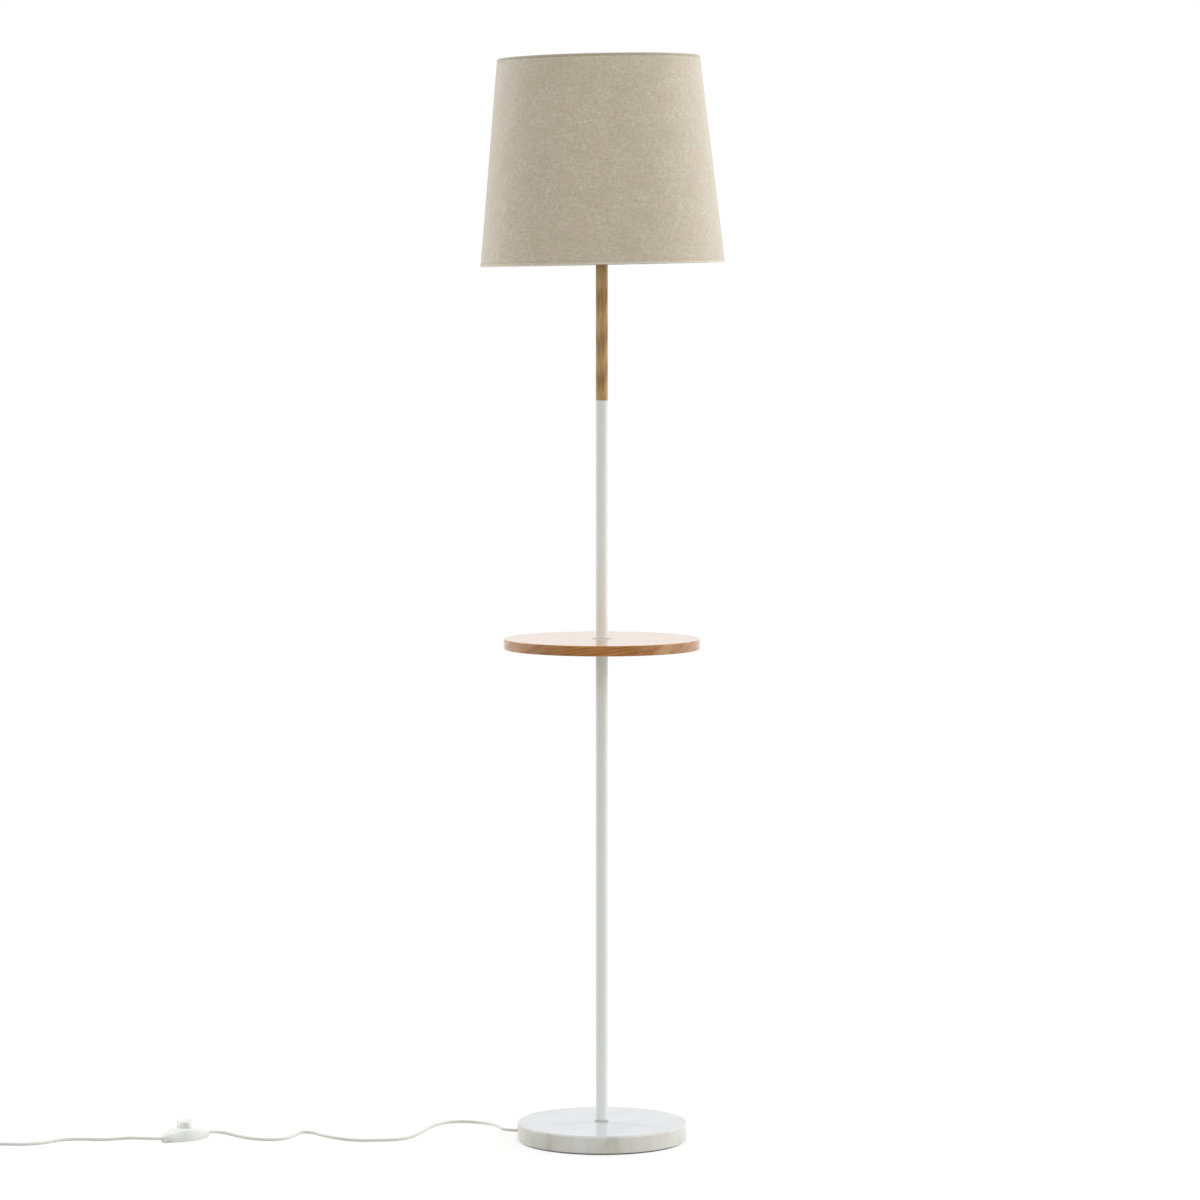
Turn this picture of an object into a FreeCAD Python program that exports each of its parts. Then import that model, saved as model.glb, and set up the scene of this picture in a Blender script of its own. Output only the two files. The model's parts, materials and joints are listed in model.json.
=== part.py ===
import FreeCAD, Part
import math
import os
import re

import Sketcher
from FreeCAD import Vector

# Floor lamp with a round table on its pole. Millimetres, +Z up.
# The origin is on the floor, on the pole's axis. The cord leaves towards -X.

SIZES = {
    # Stone foot, its pad and the hardware in its recess
    "marble_diameter": 244,
    "marble_thickness": 25,
    "marble_round": 2.8,
    "marble_chamfer": 1,
    "pad_thickness": 2,
    "pad_inset": 4,
    "recess_diameter": 64,
    "recess_depth": 17,
    "base_washer_diameter": 40,
    "base_washer_thickness": 2,
    "nut_across_flats": 14,
    "nut_thickness": 4,
    "nut_overhang": 0.6,
    # Hollow thread that joins all the sections
    "thread_diameter": 10,
    "thread_bore": 7,
    "thread_clearance": 0.05,
    "hole_clearance": 0.25,
    "nipple_reach": 12,
    # Pole
    "pole_diameter": 17.2,
    "pole_wall": 1.2,
    "tube_length": 339.5,
    "tube_chamfer": 0.4,
    "insert_length": 18,
    "insert_clearance": 0.05,
    "foot_ring_diameter": 18.8,
    "foot_ring_height": 2,
    # Table
    "table_diameter": 281,
    "table_thickness": 14.8,
    "table_round": 1.5,
    "plate_diameter": 60,
    "plate_thickness": 1.2,
    "table_washer_diameter": 28,
    "table_washer_thickness": 1,
    # Wooden stem
    "stem_length": 222,
    "collar_diameter": 24,
    "collar_thickness": 2,
    "stem_thread_reach": 8,
    # Lampholder
    "holder_cap_diameter": 40,
    "holder_cap_height": 20,
    "holder_cap_round": 8,
    "holder_wall": 1.8,
    "skirt_diameter": 39.6,
    "skirt_wall": 2.4,
    "skirt_height": 38,
    "skirt_lip": 1.5,
    "core_clearance": 0.2,
    "core_bottom_height": 10,
    "core_top_height": 30,
    "socket_bore": 27.2,
    "socket_wall": 0.4,
    "contact_diameter": 7,
    "contact_thickness": 1.5,
    "ring_nut_diameter": 57,
    "ring_nut_flange": 2.5,
    "ring_nut_collar": 47,
    "ring_nut_height": 8,
    "ring_nut_clearance": 0.1,
    # Bulb
    "bulb_seat_gap": 0.3,
    "bulb_cap_diameter": 26.4,
    "bulb_cap_length": 26,
    "bulb_cap_wall": 0.8,
    "bulb_tip_diameter": 9,
    "bulb_insulator_diameter": 22,
    "bulb_insulator_height": 2.2,
    "bulb_tip_height": 4,
    "bulb_diameter": 60,
    "bulb_length": 108,
    "bulb_skin": 1.5,
    "bulb_housing_height": 60,
    "bulb_fit": 0.1,
    # Shade
    "shade_bottom_diameter": 348,
    "shade_top_diameter": 288,
    "shade_height": 293,
    "shade_lean": 1.2,
    "cloth_thickness": 0.8,
    "liner_thickness": 0.5,
    "liner_gap": 0.15,
    "hem_width": 5.2,
    "ring_wire": 3,
    "ring_side_gap": 0.6,
    "ring_rest_gap": 0.2,
    "hub_rise": 63,
    "hub_height": 31.6,
    "hub_bore": 42,
    "hub_diameter": 54,
    "hub_thickness": 2,
    "hub_gap": 0.25,
    "arm_width": 6,
    "arm_depth": 3,
    "arm_count": 3,
    "arm_flat_past_nut": 1.5,
    "arm_end_gap": 0.05,
    # Cord and what holds it in the foot
    "cord_diameter": 4.4,
    "exit_azimuth": 168,
    "exit_height": 9,
    "relief_length": 24,
    "relief_proud": 3,
    "relief_root_diameter": 8,
    "relief_tip_diameter": 5.6,
    "relief_clearance": 0.15,
    "inner_cord_drop": 4.4,
    "inner_cord_elbow": 17.8,
    "cord_lead": 9,
    # Foot switch
    "switch_x": -600,
    "switch_y": 1,
    "switch_yaw": 39.5,
    "switch_length": 80,
    "switch_width": 32,
    "switch_end_radius": 7,
    "switch_height": 19.8,
    "switch_end_height": 10,
    "crown_axis_drop": 15,
    "switch_split_height": 6.5,
    "switch_split_gap": 0.1,
    "switch_wall": 1.6,
    "switch_roof": 5,
    "switch_round": 2.6,
    "switch_foot_round": 2.5,
    "switch_cord_clearance": 0.15,
    "button_diameter": 24,
    "button_top_height": 28,
    "button_round": 1.2,
    "button_wall": 1.6,
    "button_clearance": 0.3,
    "button_flange_width": 1.5,
    "button_flange_thickness": 1.5,
    "plunger_diameter": 4.4,
    "plunger_length": 14.5,
    "core_diameter": 13,
    "switch_core_height": 8,
    "spring_wire": 1,
    "spring_diameter": 8.4,
    "spring_turns": 6,
    "terminal_inset": 7,
    "terminal_length": 9,
    "terminal_width": 8,
    "terminal_height": 6.2,
    "boss_x": 14,
    "boss_y": 10,
    "boss_diameter": 5.2,
    "screw_diameter": 2,
    "screw_length": 10.5,
    "screw_head_diameter": 4,
    "screw_head_height": 1,
    "screw_recess": 0.4,
    "screw_hole_clearance": 0.1,
    # Plug
    "plug_width": 35.3,
    "plug_neck_width": 15,
    "plug_neck_thickness": 11,
    "plug_bevel": 5,
    "plug_side_height": 5.6,
    "plug_neck_bevel": 3,
    "plug_neck_side_height": 4.4,
    "plug_taper_length": 22,
    "plug_face_length": 14,
    "plug_relief_length": 22,
    "plug_relief_diameter": 10,
    "pin_spacing": 18.6,
    "pin_diameter": 4,
    "pin_neck_diameter": 3,
    "pin_length": 19,
    "sleeve_length": 10,
    "sleeve_diameter": 3.9,
    "sleeve_fit": 0.05,
    "pin_round": 1,
    # Put-away coil of the cord
    "coil_x": -914,
    "coil_y": -44.9,
    "coil_diameter": 52.8,
    "coil_layer_turns": 2.25,
    "coil_gap": 0.5,
    "coil_lead": 6,
    "coil_tail": 16,
}

PLACES = {
    # Levels up the pole
    "recess_top": "pad_thickness + recess_depth",
    "base_washer_bottom": "recess_top - base_washer_thickness",
    "nut_bottom": "base_washer_bottom - nut_thickness",
    "nipple_bottom": "nut_bottom - nut_overhang",
    "marble_top": "pad_thickness + marble_thickness",
    "lower_tube_bottom": "marble_top + foot_ring_height",
    "middle_tube_bottom": "lower_tube_bottom + tube_length",
    "plate_bottom": "middle_tube_bottom + tube_length",
    "table_bottom": "plate_bottom + plate_thickness",
    "table_surface": "table_bottom + table_thickness",
    "upper_tube_bottom": "table_surface + table_washer_thickness",
    "stem_bottom": "upper_tube_bottom + tube_length",
    "collar_bottom": "stem_bottom + stem_length",
    "holder_bottom": "collar_bottom + collar_thickness",
    "hub_level": "holder_bottom + hub_height",
    "hub_reach": "hub_thickness / 2 + ring_nut_diameter / 2 * sin(shade_lean) + hub_gap",
    "bulb_bottom": "holder_bottom + core_top_height + contact_thickness + bulb_seat_gap",
    "bulb_equator_height": "bulb_length - bulb_diameter / 2",
    # Radii that several pieces share
    "thread_radius": "thread_diameter / 2",
    "tapped_radius": "thread_diameter / 2 + thread_clearance",
    "clear_radius": "thread_diameter / 2 + hole_clearance",
    "pole_radius": "pole_diameter / 2",
    "tube_bore_radius": "pole_diameter / 2 - pole_wall",
    "cord_radius": "cord_diameter / 2",
    "skirt_bore_radius": "skirt_diameter / 2 - skirt_wall",
    "socket_radius": "socket_bore / 2 + socket_wall",
    "switch_bore_radius": "cord_diameter / 2 + switch_cord_clearance",
    # Shade, measured from the middle of its hub
    "shade_slope": "(shade_bottom_diameter - shade_top_diameter) / 2 / shade_height",
    "shade_low": "0 - hub_rise",
    "shade_high": "shade_height - hub_rise",
    "low_wire_level": "shade_low + cloth_thickness + ring_rest_gap + ring_wire / 2",
    "high_wire_level": "shade_high - cloth_thickness - ring_rest_gap - ring_wire / 2",
    "low_wire_radius": "shade_bottom_diameter / 2 - cloth_thickness - ring_side_gap - ring_wire / 2",
    "high_wire_radius": "shade_top_diameter / 2 - cloth_thickness - ring_side_gap / 2 - ring_wire / 2",
    "liner_low": "low_wire_level + ring_wire / 2 + ring_rest_gap",
    "liner_high": "high_wire_level - ring_wire / 2 - ring_rest_gap",
    "liner_low_radius": "shade_bottom_diameter / 2 - shade_slope * (liner_low - shade_low)"
                        " - cloth_thickness - liner_gap",
    "liner_high_radius": "shade_top_diameter / 2 + shade_slope * (shade_high - liner_high)"
                         " - cloth_thickness - liner_gap",
    # Switch
    "switch_side_radius": "((switch_length / 2 - switch_end_radius) ^ 2 + (switch_width / 2) ^ 2"
                          " - switch_end_radius ^ 2) / (switch_width - 2 * switch_end_radius)",
    "switch_end_middle": "switch_length / 2 - switch_end_radius",
    "switch_side_middle": "switch_side_radius - switch_width / 2",
    "switch_middles_apart": "switch_side_radius - switch_end_radius",
    "cover_bottom": "switch_split_height + switch_split_gap",
    "switch_crown_drop": "switch_height - switch_end_height",
    "switch_crown_radius": "((switch_length / 2) ^ 2 + switch_crown_drop ^ 2) / (2 * switch_crown_drop)",
    "cover_ceiling": "switch_end_height - switch_wall",
    "room_ceiling": "switch_height - switch_roof",
    "room_radius": "button_diameter / 2 + button_flange_width + button_clearance",
    "button_ceiling": "button_top_height - button_wall",
    "button_flange_top": "room_ceiling - button_clearance",
    "button_flange_bottom": "button_flange_top - button_flange_thickness",
    "terminal_outer_x": "switch_length / 2 - terminal_inset",
    # Plug, lying flat with its face towards the pins
    "plug_thickness": "2 * (cord_diameter * 1.5 + coil_gap)",
    "plug_mouth_x": "coil_x - coil_tail",
    "plug_neck_x": "plug_mouth_x - plug_relief_length",
}

doc = FreeCAD.newDocument("floor_lamp_with_table")
sizes = doc.addObject("Spreadsheet::Sheet", "Sizes")
places = doc.addObject("Spreadsheet::Sheet", "Places")
sub_parts = []


def formula(text, home=None):
    """The text with each alias's sheet put before it, except on its home sheet."""

    def owned(match):
        word = match.group()
        if word in SIZES:
            return "Sizes." + word
        if word in PLACES and home is not places:
            return "Places." + word
        return word

    return re.sub(r"[a-z_]+", owned, text)


def fill(sheet, rows):
    """Write the rows to a sheet: names in column A, contents with aliases in column B."""
    for row, (alias, content) in enumerate(rows.items(), start=1):
        sheet.set(f"A{row}", alias)
        sheet.set(f"B{row}", content)
        sheet.setAlias(f"B{row}", alias)


def value(text):
    """What a formula comes to now."""
    return float(sizes.evalExpression(formula(text)))


def bind(thing, prop, text):
    thing.setExpression(prop, formula(text))


def place(thing, x="0", y="0", z="0", turn="0", axis=(0, 0, 1)):
    """Tie a piece's place to formulas: an offset, then a turn about an axis through it."""
    spot = f"vector({x}; {y}; {z})"
    line = "vector({}; {}; {})".format(*axis)
    bind(thing, "Placement", f"placement({spot}; rotation({line}; {turn}))")


def new_body(name):
    body = doc.addObject("PartDesign::Body", name)
    body.Label = name
    sub_parts.append(body)
    return body


def origin_part(body, role):
    return next(item for item in body.Origin.OriginFeatures if item.Role == role)


def new_sketch(body, name, role="XY_Plane", level=None):
    """A sketch on one of the body's own planes, or at a level above it."""
    sketch = body.newObject("Sketcher::SketchObject", name)
    sketch.AttachmentSupport = (origin_part(body, role), "")
    sketch.MapMode = "FlatFace"
    if level:
        bind(sketch, "AttachmentOffset.Base.z", level)
    return sketch


def pin_point(sketch, side, end, x, y):
    """Hold a point of a sketch at two formulas."""
    for kind, text, axis in (("DistanceX", x, -2), ("DistanceY", y, -1)):
        if text == "0":
            sketch.addConstraint(Sketcher.Constraint("PointOnObject", side, end, axis))
            continue
        rule = sketch.addConstraint(Sketcher.Constraint(kind, -1, 1, side, end, value(text)))
        bind(sketch, f"Constraints[{rule}]", text)


def hold_radius(sketch, side, text):
    rule = sketch.addConstraint(Sketcher.Constraint("Radius", side, value(text)))
    bind(sketch, f"Constraints[{rule}]", text)


def draw_circle(sketch, radius, x="0", y="0"):
    middle = Vector(value(x), value(y), 0)
    side = sketch.addGeometry(Part.Circle(middle, Vector(0, 0, 1), value(radius)))
    pin_point(sketch, side, 3, x, y)
    hold_radius(sketch, side, radius)


def arc_between(start, end, radius, turn):
    """The short arc from start to end; turn is 1 for counter-clockwise and -1 for clockwise."""
    chord = end - start
    square = Vector(-chord.y, chord.x, 0).normalize() * turn
    rise = math.sqrt(max(radius ** 2 - (chord.Length / 2) ** 2, 0))
    middle = (start + end) * 0.5 + square * rise
    first, last = (start, end) if turn > 0 else (end, start)
    angles = [math.atan2(spot.y - middle.y, spot.x - middle.x) for spot in (first, last)]
    return Part.ArcOfCircle(Part.Circle(middle, Vector(0, 0, 1), radius), *angles)


def draw_outline(sketch, points, arcs=None):
    """A closed outline through formula points. arcs gives some sides a radius and a turn."""
    arcs = arcs or {}
    spots = [Vector(value(x), value(y), 0) for x, y in points]
    sides = []
    for number, start in enumerate(spots):
        end = spots[(number + 1) % len(spots)]
        if number in arcs:
            radius, turn = arcs[number]
            side = sketch.addGeometry(arc_between(start, end, value(radius), turn))
            sides.append((side, 1, 2) if turn > 0 else (side, 2, 1))
        else:
            side = sketch.addGeometry(Part.LineSegment(start, end))
            sides.append((side, 1, 2))
    for number, (side, first, _) in enumerate(sides):
        before, _, last = sides[number - 1]
        sketch.addConstraint(Sketcher.Constraint("Coincident", before, last, side, first))
        pin_point(sketch, side, first, *points[number])
    for number, (radius, _) in arcs.items():
        hold_radius(sketch, sides[number][0], radius)


def spin(body, sketch, about_x=False):
    """Revolve a sketch once round the body's Z axis, or its X axis."""
    turned = body.newObject("PartDesign::Revolution", "Turned")
    turned.Profile = sketch
    turned.ReferenceAxis = (sketch, ["H_Axis" if about_x else "V_Axis"])
    turned.Angle = 360
    return turned


def pad(body, sketch, length, midplane=False):
    raised = body.newObject("PartDesign::Pad", "Raised")
    raised.Profile = sketch
    raised.Midplane = midplane
    bind(raised, "Length", length)
    return raised


def pocket(body, sketch, length, upwards=False, midplane=False):
    """Cut a sketch into the body, and make sure that it cuts something."""
    doc.recompute()
    before = body.Shape.Volume
    cut = body.newObject("PartDesign::Pocket", "Cut")
    cut.Profile = sketch
    cut.Reversed = upwards
    cut.Midplane = midplane
    bind(cut, "Length", length)
    doc.recompute()
    assert body.Shape.Volume < before, f"{body.Label}: {sketch.Label} cuts nothing"
    return cut


def round_edges(body, base, radius, wanted):
    doc.recompute()
    names = [f"Edge{number}" for number, edge in enumerate(base.Shape.Edges, start=1) if wanted(edge)]
    fillet = body.newObject("PartDesign::Fillet", "Rounded")
    fillet.Base = (base, names)
    bind(fillet, "Radius", radius)
    return fillet


def at_level(level):
    """A test for edges that lie flat at a level."""
    return lambda edge: abs(edge.BoundBox.ZMin - level) < 0.01 and abs(edge.BoundBox.ZMax - level) < 0.01


def ring(name, outer, inner, bottom, height):
    """A round piece with a bore, standing at a level."""
    body = new_body(name)
    sketch = new_sketch(body, name + "_rings")
    draw_circle(sketch, outer)
    if inner:
        draw_circle(sketch, inner)
    pad(body, sketch, height)
    place(body, z=bottom)
    return body


def turned(name, points, arcs=None, bottom="0"):
    """A piece turned about the pole's axis from an outline of radius and height."""
    body = new_body(name)
    sketch = new_sketch(body, name + "_outline", "XZ_Plane")
    draw_outline(sketch, points, arcs)
    spin(body, sketch)
    place(body, z=bottom)
    return body


def base():
    """The marble disc with its pad, and the nut, washer and nipple in its recess."""
    radius = "marble_diameter / 2"
    marble = turned("marble_base", [
        ("recess_diameter / 2", "0"),
        (f"{radius} - marble_chamfer", "0"),
        (radius, "marble_chamfer"),
        (radius, "marble_thickness - marble_round"),
        (f"{radius} - marble_round", "marble_thickness"),
        ("clear_radius", "marble_thickness"),
        ("clear_radius", "recess_depth"),
        ("recess_diameter / 2", "recess_depth"),
    ], {3: ("marble_round", 1)})
    hole = new_sketch(marble, "cord_hole", "YZ_Plane")
    draw_circle(hole, "relief_root_diameter / 2 + relief_clearance", y="exit_height - pad_thickness")
    pocket(marble, hole, radius)
    place(marble, z="pad_thickness", turn="exit_azimuth - 180")
    ring("base_pad", f"{radius} - pad_inset", "recess_diameter / 2", "0", "pad_thickness")
    ring("base_washer", "base_washer_diameter / 2", "clear_radius", "base_washer_bottom",
         "base_washer_thickness")
    nut = new_body("base_nut")
    sketch = new_sketch(nut, "nut_outline")
    corner = "nut_across_flats / 2 / cos(30)"
    corners = [(f"{corner} * cos({angle})", f"{corner} * sin({angle})") for angle in range(30, 390, 60)]
    corners = [("0" if angle % 180 == 90 else x, y) for angle, (x, y) in zip(range(30, 390, 60), corners)]
    draw_outline(sketch, corners)
    draw_circle(sketch, "tapped_radius")
    pad(nut, sketch, "nut_thickness")
    place(nut, z="nut_bottom")
    ring("base_nipple", "thread_radius", "thread_bore / 2", "nipple_bottom",
         "lower_tube_bottom + nipple_reach - nipple_bottom")
    ring("pole_foot_ring", "foot_ring_diameter / 2", "clear_radius", "marble_top", "foot_ring_height")


def pole():
    """Three equal tubes, each with a tapped insert at both ends, and the nipples between them."""
    for name, bottom in (("lower", "lower_tube_bottom"), ("middle", "middle_tube_bottom"),
                         ("upper", "upper_tube_bottom")):
        turned(f"pole_{name}", [
            ("tube_bore_radius", "0"),
            ("pole_radius - tube_chamfer", "0"),
            ("pole_radius", "tube_chamfer"),
            ("pole_radius", "tube_length - tube_chamfer"),
            ("pole_radius - tube_chamfer", "tube_length"),
            ("tube_bore_radius", "tube_length"),
        ], bottom=bottom)
        for end, level in (("bottom", bottom), ("top", f"{bottom} + tube_length - insert_length")):
            ring(f"insert_{name}_{end}", "tube_bore_radius - insert_clearance", "tapped_radius", level,
                 "insert_length")
    ring("joint_nipple", "thread_radius", "thread_bore / 2", "middle_tube_bottom - nipple_reach",
         "2 * nipple_reach")
    ring("table_nipple", "thread_radius", "thread_bore / 2", "plate_bottom - nipple_reach",
         "upper_tube_bottom - plate_bottom + 2 * nipple_reach")


def table():
    """The round wooden table, clamped between a plate below and a washer above."""
    radius = "table_diameter / 2"
    turned("table_top", [
        ("clear_radius", "0"),
        (f"{radius} - table_round", "0"),
        (radius, "table_round"),
        (radius, "table_thickness - table_round"),
        (f"{radius} - table_round", "table_thickness"),
        ("clear_radius", "table_thickness"),
    ], {1: ("table_round", 1), 3: ("table_round", 1)}, "table_bottom")
    ring("table_plate", "plate_diameter / 2", "clear_radius", "plate_bottom", "plate_thickness")
    ring("table_washer", "table_washer_diameter / 2", "clear_radius", "table_surface",
         "table_washer_thickness")


def stem():
    """The wooden section of the pole, threaded on a long hollow rod under the lampholder."""
    ring("wood_stem", "pole_radius", "clear_radius", "stem_bottom", "stem_length")
    ring("stem_tube", "thread_radius", "thread_bore / 2", "stem_bottom - nipple_reach",
         "holder_bottom + stem_thread_reach - stem_bottom + nipple_reach")
    ring("stem_collar", "collar_diameter / 2", "clear_radius", "collar_bottom", "collar_thickness")


def holder():
    """The lampholder: cap, skirt, core, metal socket and contact, and two ring nuts."""
    cap = "holder_cap_diameter / 2"
    turned("holder_cap", [
        ("tapped_radius", "0"),
        (f"{cap} - holder_cap_round", "0"),
        (cap, "holder_cap_round"),
        (cap, "holder_cap_height"),
        (f"{cap} - holder_wall", "holder_cap_height"),
        (f"{cap} - holder_wall", "holder_cap_round"),
        (f"{cap} - holder_cap_round", "holder_wall"),
        ("tapped_radius", "holder_wall"),
    ], {1: ("holder_cap_round", 1), 5: ("holder_cap_round - holder_wall", -1)}, "holder_bottom")
    lip_radius = "socket_radius + core_clearance"
    turned("holder_skirt", [
        ("skirt_bore_radius", "0"),
        ("skirt_diameter / 2", "0"),
        ("skirt_diameter / 2", "skirt_height"),
        (lip_radius, "skirt_height"),
        (lip_radius, "skirt_height - skirt_lip"),
        ("skirt_bore_radius", "skirt_height - skirt_lip"),
    ], bottom="holder_bottom + holder_cap_height")
    ring("holder_core", "skirt_bore_radius - core_clearance", None, "holder_bottom + core_bottom_height",
         "core_top_height - core_bottom_height")
    ring("holder_socket", "socket_radius", "socket_bore / 2", "holder_bottom + core_top_height",
         "holder_cap_height + skirt_height - skirt_lip - core_clearance - core_top_height")
    ring("holder_contact", "contact_diameter / 2", None, "holder_bottom + core_top_height",
         "contact_thickness")
    bore = "skirt_diameter / 2 + ring_nut_clearance"
    flange = "ring_nut_diameter / 2"
    collar = "ring_nut_collar / 2"
    turned("ring_nut_upper", [
        (bore, "0"),
        (flange, "0"),
        (flange, "ring_nut_flange"),
        (collar, "ring_nut_flange"),
        (collar, "ring_nut_height"),
        (bore, "ring_nut_height"),
    ], bottom="hub_level + hub_reach")
    turned("ring_nut_lower", [
        (bore, "0"),
        (collar, "0"),
        (collar, "ring_nut_height - ring_nut_flange"),
        (flange, "ring_nut_height - ring_nut_flange"),
        (flange, "ring_nut_height"),
        (bore, "ring_nut_height"),
    ], bottom="hub_level - hub_reach - ring_nut_height")


def bulb():
    """A round bulb: tip with its insulator, screw cap, housing and globe."""
    cap = "bulb_cap_diameter / 2"
    neck = f"{cap} - bulb_cap_wall - bulb_fit"
    globe = "bulb_diameter / 2"
    step = "bulb_housing_height - bulb_equator_height"
    turned("bulb_tip", [
        ("0", "0"),
        ("bulb_tip_diameter / 2", "0"),
        ("bulb_insulator_diameter / 2", "bulb_insulator_height"),
        ("bulb_insulator_diameter / 2", "bulb_tip_height"),
        ("0", "bulb_tip_height"),
    ], bottom="bulb_bottom")
    turned("bulb_cap", [
        ("0", "bulb_tip_height"),
        (cap, "bulb_tip_height"),
        (cap, "bulb_cap_length"),
        (f"{cap} - bulb_cap_wall", "bulb_cap_length"),
        (f"{cap} - bulb_cap_wall", "bulb_tip_height + bulb_cap_wall"),
        ("0", "bulb_tip_height + bulb_cap_wall"),
    ], bottom="bulb_bottom")
    rim = f"sqrt(({globe}) ^ 2 - ({step}) ^ 2)"
    turned("bulb_housing", [
        ("0", "bulb_tip_height + bulb_cap_wall + bulb_fit"),
        (neck, "bulb_tip_height + bulb_cap_wall + bulb_fit"),
        (neck, "bulb_cap_length"),
        (cap, "bulb_cap_length"),
        (rim, "bulb_housing_height"),
        ("0", "bulb_housing_height"),
    ], bottom="bulb_bottom")
    inner = f"{globe} - bulb_skin"
    turned("bulb_globe", [
        (f"sqrt(({inner}) ^ 2 - ({step}) ^ 2)", "bulb_housing_height"),
        (rim, "bulb_housing_height"),
        (globe, "bulb_equator_height"),
        ("0", "bulb_length"),
        ("0", "bulb_length - bulb_skin"),
        (inner, "bulb_equator_height"),
    ], {1: (globe, 1), 2: (globe, 1), 4: (inner, -1), 5: (inner, -1)}, "bulb_bottom")


def shade():
    """The linen cone on its liner, two wire rings and the spider, all leaning about the hub."""
    low = "shade_bottom_diameter / 2"
    high = "shade_top_diameter / 2"
    cover = turned("shade_cover", [
        (f"{low} - hem_width", "shade_low"),
        (low, "shade_low"),
        (high, "shade_high"),
        (f"{high} - hem_width", "shade_high"),
        (f"{high} - hem_width", "shade_high - cloth_thickness"),
        (f"{high} - cloth_thickness * (1 - shade_slope)", "shade_high - cloth_thickness"),
        (f"{low} - cloth_thickness * (1 + shade_slope)", "shade_low + cloth_thickness"),
        (f"{low} - hem_width", "shade_low + cloth_thickness"),
    ])
    liner = turned("shade_liner", [
        ("liner_low_radius - liner_thickness", "liner_low"),
        ("liner_low_radius", "liner_low"),
        ("liner_high_radius", "liner_high"),
        ("liner_high_radius - liner_thickness", "liner_high"),
    ])
    wires = []
    for end in ("low", "high"):
        name = {"low": "shade_bottom_ring", "high": "shade_top_ring"}[end]
        body = new_body(name)
        sketch = new_sketch(body, name + "_wire", "XZ_Plane")
        draw_circle(sketch, "ring_wire / 2", f"{end}_wire_radius", f"{end}_wire_level")
        spin(body, sketch)
        wires.append(body)
    half = "hub_thickness / 2"
    spider = turned("shade_spider", [
        ("hub_bore / 2", f"0 - {half}"),
        ("hub_diameter / 2", f"0 - {half}"),
        ("hub_diameter / 2", half),
        ("hub_bore / 2", half),
    ])
    side_view = new_sketch(spider, "arm_side", "XZ_Plane")
    root = "(hub_bore + hub_diameter) / 4"
    bend = "ring_nut_diameter / 2 + arm_flat_past_nut"
    reach = "low_wire_radius - ring_wire / 2 - arm_end_gap"
    draw_outline(side_view, [
        (root, f"0 - {half}"),
        (bend, f"0 - {half}"),
        (reach, "low_wire_level - arm_depth / 2"),
        (reach, "low_wire_level + arm_depth / 2"),
        (bend, half),
        (root, half),
    ])
    arm = pad(spider, side_view, "arm_width", midplane=True)
    arms = spider.newObject("PartDesign::PolarPattern", "Arms")
    arms.Originals = [arm]
    arms.Axis = (origin_part(spider, "Z_Axis"), [""])
    arms.Angle = 360
    bind(arms, "Occurrences", "arm_count")
    spider.Tip = arms
    for body in [cover, liner, spider] + wires:
        place(body, z="hub_level", turn="shade_lean", axis=(0, -1, 0))


def tangent_arc(start, tangent, end):
    """The arc, or the straight run, that leaves start along tangent and reaches end."""
    chord = end - start
    along = tangent.dot(chord) / chord.Length
    side = tangent - chord * (along / chord.Length)
    if side.Length < 1e-7:
        return Part.LineSegment(start, end).toShape()
    rise = chord.Length / 2 * math.tan(math.acos(max(-1, min(1, along))) / 2)
    return Part.Arc(start, (start + end) * 0.5 + side.normalize() * rise, end).toShape()


def biarc(start, start_tangent, end, end_tangent):
    """Two arcs that join smoothly from one point and direction to another."""
    chord = end - start
    total = start_tangent + end_tangent
    spread = 2 * (1 - start_tangent.dot(end_tangent))
    slant = chord.dot(total)
    reach = (math.sqrt(slant ** 2 + spread * chord.dot(chord)) - slant) / spread
    joint = (start + start_tangent * reach + end - end_tangent * reach) * 0.5
    back = tangent_arc(end, end_tangent * -1, joint)
    return [tangent_arc(start, start_tangent, joint), back]


def quarter_turns(point, turns, first, last):
    """Biarcs along the curve that point(turn) gives, for each quarter of a turn.

    first and last are the headings at its two ends.
    """
    step = 1e-5
    count = round(turns * 4)
    headings = [first]
    for number in range(1, count):
        turn = number / 4
        headings.append((point(turn + step) - point(turn - step)).normalize())
    headings.append(last)
    edges = []
    for number in range(count):
        edges += biarc(point(number / 4), headings[number], point((number + 1) / 4), headings[number + 1])
    return edges


def tube_along(name, edges, radius, start, heading):
    """A round solid along a path that begins at start."""
    profile = Part.Wire(Part.makeCircle(radius, start, heading))
    path = Part.Wire(edges)
    solid = path.makePipeShell([profile], True, False)
    share = solid.Volume / (math.pi * radius ** 2 * path.Length)
    print(f"{name}: length {path.Length:.1f}, volume over section times length {share:.4f}")
    return solid


def least_gap(path, diameter, apart):
    """The least gap of a tube to itself, from points of its path, leaving out near neighbours."""
    points = Part.Wire(path).discretize(Distance=diameter / 3)
    skip = math.ceil(apart / (points[1] - points[0]).Length)
    return min((points[other] - spot).Length
               for number, spot in enumerate(points)
               for other in range(number + skip, len(points))) - diameter


def routed_tube(name, points, radius):
    """A tube of straight runs joined by arcs as large as their runs allow."""
    edges = []
    radii = []
    at = points[0]
    for before, corner, after in zip(points, points[1:], points[2:]):
        come = corner - before
        go = after - corner
        reach = 0.45 * min(come.Length, go.Length)
        radii.append(reach / math.tan(come.getAngle(go) / 2))
        come.normalize()
        start = corner - come * reach
        end = corner + go.normalize() * reach
        edges += [Part.LineSegment(at, start).toShape(), tangent_arc(start, come, end)]
        at = end
    edges.append(Part.LineSegment(at, points[-1]).toShape())
    print(f"{name}: radii", " ".join(f"{each:.0f}" for each in radii))
    return tube_along(name, edges, radius, points[0], points[1] - points[0])


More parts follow.
